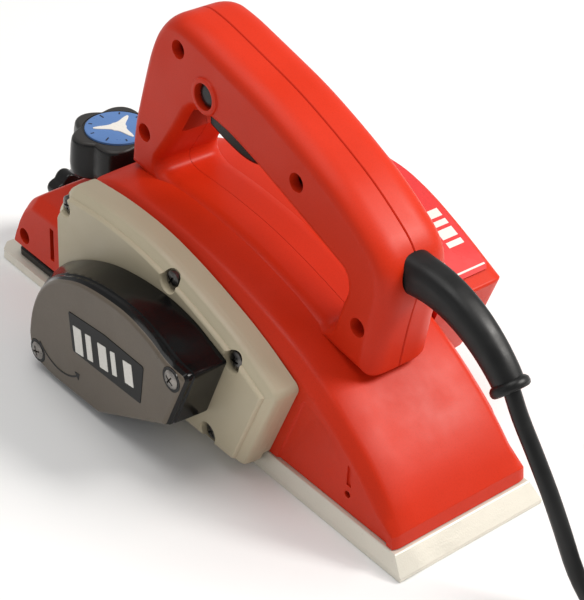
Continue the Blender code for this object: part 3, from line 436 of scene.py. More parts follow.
def rounded(outline, inset=0, steps=5):
    """Points round an outline moved inwards by inset, each corner an exact arc of its own radius."""
    corners = [Vector(c[:2]) for c in outline]
    moved, convex = mitred(corners, inset)
    made = []
    for i, corner in enumerate(moved):
        radius = outline[i][2] if len(outline[i]) > 2 else corner_radius(corners, i)
        radius = max(0.05, radius - inset if convex[i] else radius + inset)
        before, after = moved[i - 1], moved[(i + 1) % len(moved)]
        half = turn_angle(before, corner, after) / 2
        reach = min(radius * tan(half), 0.49 * (corner - before).length, 0.49 * (after - corner).length)
        start = corner + (before - corner).normalized() * reach
        end = corner + (after - corner).normalized() * reach
        weight = cos(half)
        for k in range(steps + 1):
            s = k / steps
            a, b, c = (1 - s) ** 2, 2 * weight * s * (1 - s), s * s
            made.append((start * a + corner * b + end * c) / (a + b + c))
    return [(p.x, p.y) for p in made]


def built(name, bm, mat=None, place=None):
    """The object that a bmesh makes, its faces turned outwards."""
    bmesh.ops.recalc_face_normals(bm, faces=bm.faces)
    mesh = bpy.data.meshes.new(name)
    bm.to_mesh(mesh)
    bm.free()
    if place:
        mesh.transform(place)
    if mat:
        mesh.materials.append(mat)
    return add_object(name, mesh)


def loft(name, rings, mat=None, looped=False):
    """A closed solid through rings of points in mm, its ends capped or, if looped, joined to each other."""
    bm = bmesh.new()
    rows = [[bm.verts.new(Vector(p) * MM) for p in ring] for ring in rings]
    for first, second in zip(rows, rows[1:] + rows[:1] if looped else rows[1:]):
        for i in range(len(first)):
            j = (i + 1) % len(first)
            bm.faces.new((first[i], first[j], second[j], second[i]))
    if not looped:
        bm.faces.new(rows[0])
        bm.faces.new(rows[-1])
    return built(name, bm, mat)


def side_solid(name, outline, stations, mat=None, steps=5):
    """An x-z outline lofted along Y; stations are (y, inset)."""
    return loft(name, [[(x, y, z) for x, z in rounded(outline, inset, steps)] for y, inset in stations], mat)


def plan_solid(name, outline, stations, mat=None, steps=5):
    """An x-y outline lofted along Z; stations are (z, inset)."""
    return loft(name, [[(x, y, z) for x, y in rounded(outline, inset, steps)] for z, inset in stations], mat)


def eased(face, wall, inset, base=0, steps=6):
    """Stations of a quarter ellipse from the wall, at inset base, to the face, at base + inset."""
    made = []
    for k in range(steps + 1):
        angle = pi / 2 * k / steps
        made.append((wall + (face - wall) * sin(angle), base + inset * (1 - cos(angle))))
    return made


def block(name, low, high):
    bm = bmesh.new()
    centre = (Vector(low) + Vector(high)) / 2 * MM
    side = (Vector(high) - Vector(low)) * MM
    bmesh.ops.create_cube(bm, size=1, matrix=Matrix.Translation(centre) @ Matrix.Diagonal((*side, 1)))
    return built(name, bm)


AXIS_TURNS = {
    "X": Matrix.Rotation(pi / 2, 4, "Y"),
    "Y": Matrix.Rotation(-pi / 2, 4, "X"),
    "Z": Matrix.Identity(4),
}


def axis_place(axis, centre):
    a, b = centre
    at = {"X": (0, a, b), "Y": (a, 0, b), "Z": (a, b, 0)}[axis]
    return Matrix.Translation(Vector(at) * MM) @ AXIS_TURNS[axis]


def turned(name, profile, axis, centre, mat=None, steps=48):
    """A solid of revolution. The profile holds (radius, position along the axis), and either starts and ends
    on the axis or comes back to its first point."""
    bm = bmesh.new()
    closed = profile[0] == profile[-1]
    points = profile[:-1] if closed else profile
    rows = []
    for radius, position in points:
        if radius < 1e-6:
            rows.append([bm.verts.new((0, 0, position * MM))])
            continue
        ring = []
        for k in range(steps):
            angle = 2 * pi * k / steps
            ring.append(bm.verts.new((radius * cos(angle) * MM, radius * sin(angle) * MM, position * MM)))
        rows.append(ring)
    pairs = list(zip(rows, rows[1:])) + ([(rows[-1], rows[0])] if closed else [])
    for first, second in pairs:
        for k in range(steps):
            j = (k + 1) % steps
            corners = [row[i % len(row)] for row, i in ((first, k), (first, j), (second, j), (second, k))]
            unique = list(dict.fromkeys(corners))
            if len(unique) > 2:
                bm.faces.new(unique)
    return built(name, bm, mat, axis_place(axis, centre))


def rod(name, axis, centre, radius, start, end, mat=None, steps=40, soft=0):
    """A cylinder, its rims rounded by soft."""
    profile = [(0, start)]
    for position, wall in ((start, start + soft), (end, end - soft)):
        rim = eased(position, wall, soft, 0, 3) if soft else [(position, 0)]
        rim = reversed(rim) if position == start else rim
        profile += [(radius - inset, at) for at, inset in rim]
    return turned(name, profile + [(0, end)], axis, centre, mat, steps)


def apply_modifiers(obj):
    graph = bpy.context.evaluated_depsgraph_get()
    mesh = bpy.data.meshes.new_from_object(obj.evaluated_get(graph))
    obj.modifiers.clear()
    obj.data = mesh


def combine(obj, operation, others):
    """Applies Booleans at once and removes the other objects."""
    for other in others:
        modifier = obj.modifiers.new("boolean", "BOOLEAN")
        modifier.operation = operation
        modifier.solver = "EXACT"
        modifier.object = other
    apply_modifiers(obj)
    for other in others:
        bpy.data.objects.remove(other, do_unlink=True)


def cut(obj, *others):
    combine(obj, "DIFFERENCE", others)


def join(obj, *others):
    combine(obj, "UNION", others)


def register(obj, body, slot, *nodes):
    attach(obj, body)
    if nodes:
        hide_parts(*nodes)
    return obj


def finish(obj, edge, angle, body, slot, *nodes):
    """Rounds the sharp edges by a width in mm, shades between them smooth, and registers the piece."""
    if edge:
        modifier = obj.modifiers.new("bevel", "BEVEL")
        modifier.width = edge * MM
        modifier.segments = 2
        modifier.limit_method = "ANGLE"
        modifier.angle_limit = radians(angle)
        apply_modifiers(obj)
    obj.data.shade_smooth()
    obj.data.set_sharp_from_angle(angle=radians(angle))
    weighted = obj.modifiers.new("weighted", "WEIGHTED_NORMAL")
    weighted.keep_sharp = True
    weighted.weight = 60
    return register(obj, body, slot, *nodes)


def face_look(obj, mat, axis, above, facing):
    """A second material for the faces past a place in mm along an axis that face along it."""
    obj.data.materials.append(mat)
    for polygon in obj.data.polygons:
        if polygon.center[axis] > above * MM and polygon.normal[axis] > facing:
            polygon.material_index = 1


# ---- mains lead


def between(a, b, start, end, t):
    return a * (end - t) / (end - start) + b * (t - start) / (end - start)


def smooth_route(points, steps):
    """Points on a smooth curve (centripetal Catmull-Rom) through the route's own points."""
    held = [Vector(p) for p in points]
    held = [2 * held[0] - held[1], *held, 2 * held[-1] - held[-2]]
    made = []
    for p0, p1, p2, p3 in zip(held, held[1:], held[2:], held[3:]):
        t1 = (p1 - p0).length ** 0.5
        t2 = t1 + (p2 - p1).length ** 0.5
        t3 = t2 + (p3 - p2).length ** 0.5
        for k in range(steps):
            t = t1 + (t2 - t1) * k / steps
            middle = between(p1, p2, t1, t2, t)
            first = between(between(p0, p1, 0, t1, t), middle, 0, t2, t)
            second = between(middle, between(p2, p3, t2, t3, t), t1, t3, t)
            made.append(between(first, second, t1, t2, t))
    made.append(held[-2])
    return made


def coil_points():
    """Three turns in along the floor, three out on top of them, and the half turn to the plug above those.

    Every turn steps across in the last part of its circle, so neighbours stay one pitch apart."""
    cx, cy = COIL_CENTRE
    floor = CORD_DIAMETER / 2 + 0.4
    radii = [COIL_OUTER_TURN - COIL_PITCH * n for n in range(3)]
    turns = [(r, 0) for r in radii] + [(r, 1) for r in reversed(radii)] + [(radii[0], 2)]
    per_turn = 36
    step_share = 0.17
    made = []
    for number, (radius, layer) in enumerate(turns):
        last = number == len(turns) - 1
        after, next_layer = (radius, layer) if last else turns[number + 1]
        count = per_turn // 2 if last else per_turn
        for k in range(count + (1 if last else 0)):
            share = k / per_turn
            s = max(0, (share - 1 + step_share) / step_share)
            s = s * s * (3 - 2 * s)
            angle = pi / 2 + 2 * pi * share
            climb = sqrt(1 - (1 - s) ** 2) if next_layer != layer else 0
            r = radius + (after - radius) * s
            z = floor + COIL_PITCH * (layer + climb)
            made.append(Vector((cx + r * cos(angle), cy + r * sin(angle), z)))
    return made


def cord_path():
    """The lead from inside the handle to the plug."""
    inside = [Vector(p) for p in GUARD_ROUTE[1:-1]]
    hanging = smooth_route([GUARD_ROUTE[-1]] + CORD_ROUTE[1:], 3)
    coil = coil_points()
    x, y = PLUG_AT
    height = PLUG_HALF_HEIGHT + 0.3
    tail_start = coil[-1]
    tail = []
    end = Vector((x - 20, y, height))
    for k in range(1, 9):
        s = k / 8
        ease = s * s * (3 - 2 * s)
        tail.append(Vector((
            tail_start.x + (end.x - tail_start.x) * s, tail_start.y + (end.y - tail_start.y) * s,
            tail_start.z + (height - tail_start.z) * ease,
        )))
    return inside + hanging + coil + tail


def round_tube(name, points, radius, mat):
    curve = bpy.data.curves.new(name, "CURVE")
    curve.dimensions = "3D"
    curve.bevel_depth = radius * MM
    curve.bevel_resolution = 5
    curve.use_fill_caps = True
    spline = curve.splines.new("POLY")
    spline.points.add(len(points) - 1)
    for i, point in enumerate(points):
        spline.points[i].co = (*(Vector(point) * MM), 1)
    spline.use_smooth = True
    curve.materials.append(mat)
    return add_object(name, curve)


def squircle(half_wide, half_high, power, steps):
    """Points round a soft-cornered rectangle; a power of 2 is an ellipse."""
    made = []
    for k in range(steps):
        angle = 2 * pi * (k + 0.5) / steps
        c, s = cos(angle), sin(angle)
        wide = half_wide * abs(c) ** (2 / power) * (1 if c > 0 else -1)
        high = half_high * abs(s) ** (2 / power) * (1 if s > 0 else -1)
        made.append((wide, high))
    return made


def guard_frames():
    """Places along the guard's route: the point, its share of the way, and the directions up and ahead."""
    route = smooth_route(GUARD_ROUTE, 4)
    last = len(route) - 1
    made = []
    for i, point in enumerate(route):
        ahead = (route[min(i + 1, last)] - route[max(i - 1, 0)]).normalized()
        made.append((point, i / last, ACROSS.cross(ahead).normalized(), ahead))
    return made


def make_cord_guard(mats):
    rings = []
    frames = guard_frames()
    mouth = 0.16
    for point, share, high, _ in frames:
        size = 8.5 - 2.1 * share
        if share < mouth:
            size += 0.9 * (1 - share / mouth)
        section = squircle(size * 0.97, size * 1.03, 2.9 - 0.7 * share, 32)
        rings.append([point + ACROSS * a + high * b for a, b in section])
    guard = loft("cord_strain_relief", rings, mats["rubber"])
    end, _, high, ahead = frames[-1]
    collar = turned("collar", [
        (0, -4.6), (6.2, -4.6), (7.4, -4), (8.3, -3), (8.5, -1.6), (8.2, -0.4), (7.4, 0.2), (5.6, 0.3),
        (4.5, -0.2), (0, -0.2),
    ], "Z", (0, 0))
    turn = Matrix((ACROSS, high, ahead)).transposed().to_4x4()
    collar.data.transform(Matrix.Translation(end * MM) @ turn)
    join(guard, collar)
    return finish(guard, 0, 50, ROOT, "black_rubber", "cord_guard")


def make_plug(mats):
    x, y = PLUG_AT
    middle = PLUG_HALF_HEIGHT + 0.3
    sections = [
        (-24, 4.2, 4.2, 2), (-23, 4.9, 4.9, 2), (-20, 5.3, 5.2, 2), (-12, 6.6, 5.9, 2.2),
        (-6, 8.8, 6.7, 2.6), (-1, 12.2, 7.4, 3.2), (4, 13.6, 7.8, 3.6), (11, 14.4, 8, 3.8),
        (15, 15.2, 8, 4), (19, 15.4, 8, 4), (20, 14.6, 7.2, 4),
    ]
    rings = []
    for along, wide, high, power in sections:
        rings.append([(x + along, y + a, middle + b) for a, b in squircle(wide, high, power, 48)])
    body = loft("plug_moulding", rings, mats["rubber"])
    places = [(y + 9.5, middle), (y - 9.5, middle)]
    cut(body, *[rod("socket", "X", at, 2.8, x + 14, x + 30) for at in places])
    finish(body, 0.3, 45, ROOT, "black_rubber", "plug_body")
    pieces = [body]
    for i, at in enumerate(places):
        pin = rod(f"plug_contact_{i + 1}", "X", at, 2.4, x + 14.5, x + 39, mats["brass"], 24, 0.9)
        pieces.append(finish(pin, 0, 32, ROOT, "brass", f"plug_pin_{i + 1}"))
    return pieces


def make_coil_tie(mats):
    """A strap round the coil's turns on the side away from the planer."""
    cx, cy = COIL_CENTRE
    inner, outer = COIL_OUTER_TURN - 2 * COIL_PITCH - 4.4, COIL_OUTER_TURN + 4.4
    low, high = 0.25, 2 * COIL_PITCH + 1.6
    section = [(inner, low, 3), (outer, low, 3), (outer, high, 3.4), (inner, high, 3.4)]
    ring, inside = rounded(section), rounded(section, 0.45)
    angle = radians(215)
    ahead = Vector((cos(angle), sin(angle), 0))
    across = Vector((-sin(angle), cos(angle), 0))
    middle = Vector((cx, cy, 0))
    rings = []
    for points, side in ((ring, -5), (ring, 5), (inside, 5), (inside, -5)):
        rings.append([middle + ahead * r + across * side + Vector((0, 0, z)) for r, z in points])
    tie = loft("coil_tie", rings, mats["black"], looped=True)
    return finish(tie, 0, 32, ROOT, "black_plastic")


def make_lead(mats):
    guard = make_cord_guard(mats)
    plug_pieces = make_plug(mats)
    tie = make_coil_tie(mats)
    cord = round_tube("mains_lead", cord_path(), CORD_DIAMETER / 2, mats["cord"])
    register(cord, ROOT, "black_rubber", "cord", "cord_coil")


# ---- housing and soles


def crown_drop(y):
    """How much lower the housing's top is at a distance from the middle."""
    chamfer = [
        (31, 0), (32.6, 0.15), (33.4, 0.5), (34.2, 1.15), (35.2, 2.2), (36.2, 3.25), (37.1, 4.25),
        (37.6, 4.95), (37.9, 5.7), (38, 6.4),
    ]
    side = abs(y)
    extra = 0
    for (y0, d0), (y1, d1) in zip(chamfer, chamfer[1:]):
        if y0 <= side <= y1:
            extra = d0 + (d1 - d0) * (side - y0) / (y1 - y0)
    return 1.2 * (side / 34) ** 2 + extra


def make_housing(mats):
    sides = [38, 37.9, 37.6, 37.1, 36.2, 35.2, 34.2, 33.4, 32.6, 31, 28, 24, 19, 14, 9, 4]
    stations = [-y for y in sides] + sides[::-1]
    outline = rounded(HOUSING_OUTLINE, 0, 6)
    foot, fade, tail_from = 9.3, 14, -120
    rings = []
    for y in stations:
        inset = 1.1 * max(0, (abs(y) - 34) / 4) ** 2
        ring = []
        for x, z in outline:
            keep = min(1, max(0, (z - fade) / fade))
            ends = inset if x < tail_from else 0
            ring.append((x + ends, y, max(foot, z - crown_drop(y) * keep)))
        rings.append(ring)
    housing = loft("housing_shell", rings, mats["red"])
    inner = [
        (-134, 12, 1), (-127, 25), (-114, 37), (-94, 50), (-72, 61), (-53, 68), (-34, 74), (-13, 78.5),
        (15, 81.5), (40, 82), (58, 80.5), (68, 76, 3), (73.5, 68), (76, 46, 3), (81, 42.5, 2), (121, 41.5, 4),
        (126.5, 37.5), (132.5, 28), (135.5, 15.5, 1), (60, 15.5, 1), (56, 5, 1), (-134, 5, 1),
    ]
    inset = [(-35.2, 4), (-33, 1), (-30, 0), (30, 0), (33, 1), (35.2, 4)]
    cut(housing, side_solid("room", inner, inset, None, 3))
    cuts = [
        rod("motor_mouth", "Y", MOTOR_AXIS, 26, 30, 40),
        rod("drum_mouth", "Y", DRUM_AXIS, 28, -40, 40),
        block("drum_mouth_foot", (8, -40, -6), (60, 40, 20)),
        block("cheek_window", (-5.4, -40, -6), (61, -30, 46.4)),
        block("chip_window", (31.6, -40, 55.6), (70.4, -30, 72.9)),
        rod("knob_bore", "Z", KNOB_AXIS, 5, 30, 60),
        rod("rod_hole", "Y", (129.5, 19.5), 4.2, 30, 44),
        block("side_slot", (103.2, 35.2, 18), (106.4, 44, 36)),
        block("mark_slot", (-113, 36, 22.5), (-110.2, 44, 33.5)),
        rod("mark_hole", "Y", (-111.3, 18), 1.7, 34, 44),
        rod("fence_screw_hole", "X", FENCE_KNOB_AT, 3, 118, 141),
    ]
    for i in range(5):
        x, half = -132 + 6.5 * i, 1.3
        cuts.append(block("vent", (x - half, -44, 13), (x + half, -34, 20 + 3.2 * i)))
    panel = [
        (-82, 49.6, 2.5), (-96, 44.6), (-119, 29), (-131, 17.6), (-137, 11.6, 1), (-137.6, 6, 0.5),
        (-66.2, 6, 0.5),
    ]
    cuts.append(side_solid("rear_panel", panel, [(36.9, 1.1), (37.4, 0.35), (37.9, 0), (44, -0.4)]))
    cut(housing, *cuts)
    collar = rod("knob_collar", "Z", KNOB_AXIS, 15, 43.5, 48.3, None, 40, 0.6)
    cut(collar, rod("collar_bore", "Z", KNOB_AXIS, 11.6, 40, 50))
    join(housing, collar)
    finish(housing, 0.3, 34, ROOT, "red_plastic", "main_housing")


def make_soles(mats):
    lengthwise = [
        (SOLE_REAR_X, 0, 0.4), (SOLE_REAR_X, 1.8, 0.5), (SOLE_REAR_X + 6.7, REAR_SOLE_TOP, 1.6),
        (13, REAR_SOLE_TOP, 0.5), (20, 0, 0.4),
    ]
    wide = SOLE_HALF_WIDTH
    base = side_solid("rear_sole", lengthwise, [(-wide, 0), (wide, 0)], mats["sole"])
    right_flank = [
        (-wide, -1), (-wide, 2.2), (-40.8, 2.9), (-38.9, 8.6), (-38.4, REAR_SOLE_TOP), (-38.4, 12),
    ]
    across = right_flank + [(-y, z) for y, z in reversed(right_flank)]
    combine(base, "INTERSECT", [loft("sole_section", [[(x, y, z) for y, z in across] for x in (-156, 25)])])
    cap_profile = [
        (0, -50), (15, -50), (16.2, -49.4), (17.4, -49.4), (18.4, -50), (26.6, -50), (28, -49.4),
        (28.6, -48), (28.6, -41.6), (0, -41.6),
    ]
    cap = turned("bearing_cap", cap_profile, "Y", DRUM_AXIS)
    cut(cap, block("cap_foot", (-20, -60, -10), (80, -41.3, 13.5)))
    join(
        base,
        block("cheek_foot", (-5, -40.9, 5), (6, -36, 15)),
        block("cheek_arm", (-5, -50, 13.5), (6, -36, 46)),
        block("cheek_wall", (0, -50, 13.5), (58, -41.6, 46)),
        cap,
    )
    cut(base, rod("bearing_seat", "Y", DRUM_AXIS, 9.6, -48.6, -30))
    finish(base, 0.35, 40, ROOT, "beige_cast", "rear_base")

    nose = 5
    front = [
        (52, -wide, 0.4), (52, wide, 0.4), (SOLE_FRONT_X - nose, wide, 2), (SOLE_FRONT_X, wide - nose, 2),
        (SOLE_FRONT_X, nose - wide, 2), (SOLE_FRONT_X - nose, -wide, 2),
    ]
    shoe = plan_solid("front_shoe", front, [(0, 0), (FRONT_SOLE_TOP, 0)], mats["sole"], 4)
    slope = [(48, -1, 0.1), (51.2, -1, 0.1), (56.5, 5.6, 0.1), (48, 5.6, 0.1)]
    cut(shoe, side_solid("heel", slope, [(-60, 0), (60, 0)]))
    finish(shoe, 0.4, 40, "front_base_body", "beige_cast", "front_base")
    # The carrier is a real black part; its black also stands in for painted shade in the dark gap between the
    # front shoe and the housing.
    carrier = plan_solid("shoe_carrier", [(62, -36.6, 2), (62, 36.6, 2), (138, 36.6, 3), (138, -36.6, 3)],
                         [(5.3, 0), (8.6, 0), (9.2, 0.6)], mats["black"], 4)
    rib = plan_solid("carrier_rib", [(64, -34.6, 2), (64, 34.6, 2), (122, 34.6, 2), (122, -34.6, 2)],
                     [(8.5, 0), (17.5, 0), (18, 0.5)])
    boss = rod("carrier_boss", "Z", KNOB_AXIS, 8.5, 17, 29, None, 32, 0.4)
    join(carrier, rib, boss)
    cut(carrier, rod("carrier_bore", "Z", KNOB_AXIS, 4.3, 0, 32))
    finish(carrier, 0, 40, "front_base_body", "black_plastic", "front_base_carrier")


# ---- side frame and covers


def make_side_frame(mats):
    stations = [(41.4, 0.3), (41.7, 0), (45.4, 0), (46, 0.15), *eased(50.5, 46.4, 1.6, 0.2, 7)[1:]]
    stations += [(51.2, 2.6), (52, 3.7), *eased(FRAME_FACE_Y, 52.4, 1.3, 4.5, 6)]
    frame_piece = side_solid("side_casting", FRAME_OUTLINE, stations, mats["beige"], 7)
    flange_outline = [(79, 9.4, 1)] + FRAME_OUTLINE[1:7] + [(-80, 54, 3.5), (-62.6, 9.4, 2)]
    join(frame_piece, side_solid("frame_flange", flange_outline, [(38.3, 0), (41.9, 0)], None, 7))
    cuts = [
        rod("drum_recess", "Y", DRUM_AXIS, 27.2, 30, 41.9),
        rod("drum_seat", "Y", DRUM_AXIS, 11.3, 40, 50.2),
        rod("drum_shaft_hole", "Y", DRUM_AXIS, 8, 45, 60),
        rod("motor_seat", "Y", MOTOR_AXIS, 11.3, 30, 50.2),
        rod("motor_shaft_hole", "Y", MOTOR_AXIS, 8, 45, 60),
    ]
    mouth = [(0, 49.5), (4.7, 49.5), (5, 49.8), (5, 53.6), (5.5, 54.4), (6, 60), (0, 60)]
    for at in FRAME_SCREWS:
        cuts.append(turned("recess", mouth, "Y", at))
        cuts.append(rod("screw_hole", "Y", at, 2.3, 35, 55))
    for at in COVER_SCREWS:
        cuts.append(rod("cover_hole", "Y", at, 2.3, 44, 60))
    cut(frame_piece, *cuts)
    finish(frame_piece, 0.25, 30, ROOT, "beige_cast", "side_frame")


def cover_rings():
    """The cover's section from its open edge to its face, one ring for each step outwards."""
    def ring(y, share, inset):
        outer = rounded(COVER_BASE, inset, 6)
        inner = rounded(COVER_FACE, inset, 6)
        return [(a[0] + (b[0] - a[0]) * share, y, a[1] + (b[1] - a[1]) * share) for a, b in zip(outer, inner)]

    rings = [ring(54.8, 0, 0.2), ring(55.3, 0.02, 0)]
    for k in range(1, 9):
        s = k / 8
        y = 55.3 + (70.5 - 55.3) * s
        rings.append(ring(y, 0.667 * s ** 1.15, -0.8 * s))
    bead = [
        (72.4, 0.80, -1), (73, 0.86, -0.4), (73.5, 0.90, -0.4), (74.1, 0.94, -1), (75.4, 0.97, -1),
        (76.3, 1, -0.5),
    ]
    rings += [ring(*station) for station in bead]
    for y, inset in eased(COVER_FACE_Y, 76.6, 1.9, -0.3, 5)[1:]:
        rings.append(ring(y, 1, inset))
    return rings


def make_belt_cover(mats):
    rings = cover_rings()
    cover = loft("belt_cover_shell", rings, mats["gloss"])
    inner = []
    share = 0.93
    for ring in rings:
        y = ring[0][1]
        cx = sum(p[0] for p in ring) / len(ring)
        cz = sum(p[2] for p in ring) / len(ring)
        inner.append([(cx + (x - cx) * share, min(y, 76.3), cz + (z - cz) * share) for x, _, z in ring])
    inner = [[(x, 50, z) for x, _, z in inner[0]]] + inner[:-5]
    cut(cover, loft("cover_room", inner))
    seat = [(0, 78.1), (5.6, 78.1), (6, 78.5), (6, 84), (0, 84)]
    for at in COVER_SCREWS:
        join(cover, rod("boss", "Y", at, 4.4, 55.2, 77.5))
        cut(cover, rod("boss_hole", "Y", at, 2.5, 50, 82))
        cut(cover, turned("seat", seat, "Y", at))
    finish(cover, 0.2, 28, ROOT, "cover_plastic", "belt_cover")
    face_look(cover, mats["taupe"], 1, COVER_FACE_Y - 1.4, 0.25)
    field = [(78.35, 0), (78.62, 0), (78.78, 0.25)]
    panel = side_solid("badge_field", BADGE_FIELD, field, mats["gloss"], 4)
    finish(panel, 0, 32, ROOT, "cover_plastic")
    for i in range(5):
        make_badge_bar(i, mats)
    make_arc_mark(mats)


def make_badge_bar(i, mats):
    """One of a row of plain slanted bars, in place of any lettering."""
    x, low, high = 24 - 9.4 * i, 28.6 + 1.5 * i, 42.8 + 0.9 * i
    width = (6.2, 4.2, 6.2, 3.4, 6.2)[i]
    lean = 1.8
    corners = [
        (x, low, 0.3), (x - width, low + 0.8, 0.3), (x - width + lean, high, 0.3),
        (x + lean, high - 0.8, 0.3),
    ]
    bar = side_solid(f"badge_bar_{i + 1}", corners, [(78.7, 0), (78.92, 0), (79, 0.1)], mats["white"], 2)
    finish(bar, 0, 32, ROOT, "label_film")


def make_arc_mark(mats):
    """A raised arc with an arrow tip, which shows the way the drum turns; its black is painted shade,
    standing in for the dark of an engraved groove.
    """
    def on_arc(radius, angle):
        return Vector((38, 32)) + radius * Vector((cos(angle), sin(angle)))

    angles = [radians(-43 - 4.3 * k) for k in range(21)]
    barb, tip = angles[-1], angles[-1] - radians(9)
    outer = [on_arc(22.2, a) for a in angles]
    head = [on_arc(24, barb), on_arc(21.8, tip), on_arc(19.6, barb)]
    inner = [on_arc(21.4, a) for a in reversed(angles)]
    outline = [(p.x, p.y, 0.1) for p in outer + head + inner]
    # The arc's black gloss is painted shade of an engraved groove.
    mark = side_solid("turn_mark", outline, [(78.4, 0), (78.66, 0)], mats["gloss"], 1)
    finish(mark, 0, 32, ROOT, "cover_plastic")


def make_end_cover(mats):
    stations = [(END_COVER_OPEN_Y, 0), (-70, 0)] + eased(END_COVER_FACE_Y, -71, 6.5)[1:]
    cover = side_solid("end_cover_shell", END_COVER_OUTLINE, stations, mats["red"], 7)
    cuts = [side_solid("end_room", END_COVER_OUTLINE, [(-30, 2.6), (-70, 2.6), (-75.8, 8.4)])]
    for i in range(4):
        z, half = 30 + 6 * i, 1.3
        cuts.append(block("end_vent", (-53, -84, z - half), (-41, -72, z + half)))
    cut(cover, *cuts)
    for at in END_COVER_SCREWS:
        join(cover, rod("end_boss", "Y", at, 4.6, -77.4, -40))
        cut(cover, rod("end_hole", "Y", at, 2.8, -84, -30))
    finish(cover, 0.25, 32, ROOT, "red_plastic", "motor_end_cover")
    make_label(mats)


def label_strip(name, start, end, low_y, high_y, lift, thick, mat, corner=0, taper=0, nodes=()):
    """A thin strip that follows the end cover's top between two shares of the label's arc."""
    route = smooth_route([(x, 0, z) for x, z in LABEL_ARC], 12)
    lengths = [0]
    for a, b in zip(route, route[1:]):
        lengths.append(lengths[-1] + (b - a).length)
    count = 28

    def at(share):
        wanted = share * lengths[-1]
        i = next(i for i in range(1, len(route)) if lengths[i] >= wanted - 1e-9)
        t = (wanted - lengths[i - 1]) / max(1e-9, lengths[i] - lengths[i - 1])
        ahead = (route[i] - route[i - 1]).normalized()
        return route[i - 1].lerp(route[i], t), Vector((ahead.z, 0, -ahead.x))

    rings = []
    for k in range(count + 1):
        share = start + (end - start) * k / count
        point, up = at(share)
        low = point + up * lift
        high = point + up * (lift + thick)
        trim = 0
        if corner:
            edge = min(share - start, end - share) * lengths[-1]
            if edge < corner:
                trim = corner - sqrt(max(0, corner ** 2 - (corner - edge) ** 2))
        near = low_y + trim + taper * (1 - k / count)
        rings.append([
            (low.x, near, low.z), (low.x, high_y - trim, low.z), (high.x, high_y - trim, high.z),
            (high.x, near, high.z),
        ])
    finish(loft(name, rings, mat), 0, 50, ROOT, "label_film", *nodes)


def make_label(mats):
    label_strip("rating_film", 0, 1, -73, -46, 0.05, 0.5, mats["label"], 2, nodes=["label_plate"])
    marks = [
        ("film_line_1", 0.03, 0.036, -72, -47), ("film_line_2", 0.955, 0.968, -72, -47),
        ("film_bar_1", 0.10, 0.19, -65, -52), ("film_bar_2", 0.225, 0.29, -65, -52),
        ("film_bar_3", 0.325, 0.415, -65, -52), ("film_bar_4", 0.50, 0.56, -70, -61),
        ("film_bar_5", 0.585, 0.625, -70, -61), ("film_bar_6", 0.65, 0.72, -70, -61),
        ("film_bar_7", 0.745, 0.785, -70, -61),
    ]
    for mark in marks:
        label_strip(*mark, 0.5, 0.12, mats["white"])
    label_strip("film_wedge", 0.55, 0.92, -54.5, -48.2, 0.5, 0.12, mats["white"], taper=6)


def make_chip_chute(mats):
    outline = [(32, 56, 3), (32, 72.5, 3), (70, 72.5, 3), (70, 56, 3)]
    chute = side_solid("chip_spout", outline, [(-29, 0), (-45.4, 0), (-46, 0.6)], mats["red"])
    mouth = [(34, 58, 2), (34, 70.5, 2), (68, 70.5, 2), (68, 58, 2)]
    cut(chute, side_solid("spout_bore", mouth, [(-20, 0), (-60, 0)]))
    finish(chute, 0.25, 35, ROOT, "red_plastic", "chip_chute")


# ---- handle


def handle_half(side, mats):
    """One half of the handle, from the seam at the middle out to its flat side."""
    def sided(*stations):
        return [(side * y, inset) for y, inset in stations]

    w = HANDLE_HALF_WIDTH
    reach = w + 3
    stations = sided((0.12, 0.4), (0.55, 0), (w - 11, 0), *eased(w, w - 11, 6.6, 0, 9)[1:])
    name = "left" if side > 0 else "right"
    shell = side_solid(f"handle_shell_{name}", HANDLE_OUTLINE, stations, mats["red"], 6)
    below = [(-112, 20, 0.2), (-112, 50, 0.2)] + HANDLE_BAR_UNDERSIDE + [(84, 77.5, 0.2), (84, 20, 0.2)]
    opening = sided((-2, 0), (w - 8, 0), *eased(w, w - 8, -4.2, 0, 8)[1:], (reach, -4.6))
    room = [(32, 110, 2), (52, 146, 6), (36, 164, 6), (6, 158.5), (-60, 136.5), (-92, 115, 4), (-95, 104, 4),
            (-82, 106, 2), (-48, 120), (-18, 131.4), (22, 139, 2)]
    cut(
        shell,
        side_solid("below_bar", below, sided((-2, 0), (reach, 0)), None, 4),
        side_solid("window", HANDLE_WINDOW_TOP + HANDLE_WINDOW_FOOT, opening),
        block("trigger_slot", (-22, -7.4, 112), (26.4, 7.4, 141)),
        side_solid("grip_room", room, sided((-2, 0), (w - 4.4, 0)), None, 3),
        rod("guard_hole", "X", (0, 108), 8.9, -110, -88),
    )
    recesses = []
    mouth = [(0, 7.5), (3.9, 7.5), (3.9, 15), (4.4, 19), (0, 19)]
    for at in HANDLE_SCREWS:
        if side > 0:
            recesses.append(turned("recess", mouth, "Y", at))
        else:
            recesses.append(rod("pilot", "Y", at, 1.8, -12, 2))
    if side > 0:
        recesses.append(rod("lock_hole", "Y", LOCK_BUTTON_AT, 6.1, 4, 30))
    bosses = []
    low, high = (0.3, 8.5) if side > 0 else (-14, -0.3)
    for i, at in enumerate(HANDLE_SCREWS):
        bosses.append(rod("boss", "Y", at, 5.2 if i != 1 else 4.4, low, high))
    if side > 0:
        lip = [(6.1, 9), (8.6, 9), (8.6, 18.4), (8.2, 19.2), (7, 19.6), (6.1, 19.4), (6.1, 9)]
        bosses.append(turned("lock_lip", lip, "Y", LOCK_BUTTON_AT))
    join(shell, *bosses)
    cut(shell, *recesses)
    finish(shell, 0.25, 32, ROOT, "red_plastic", f"handle_{name}")


def make_handle(mats):
    handle_half(1, mats)
    handle_half(-1, mats)


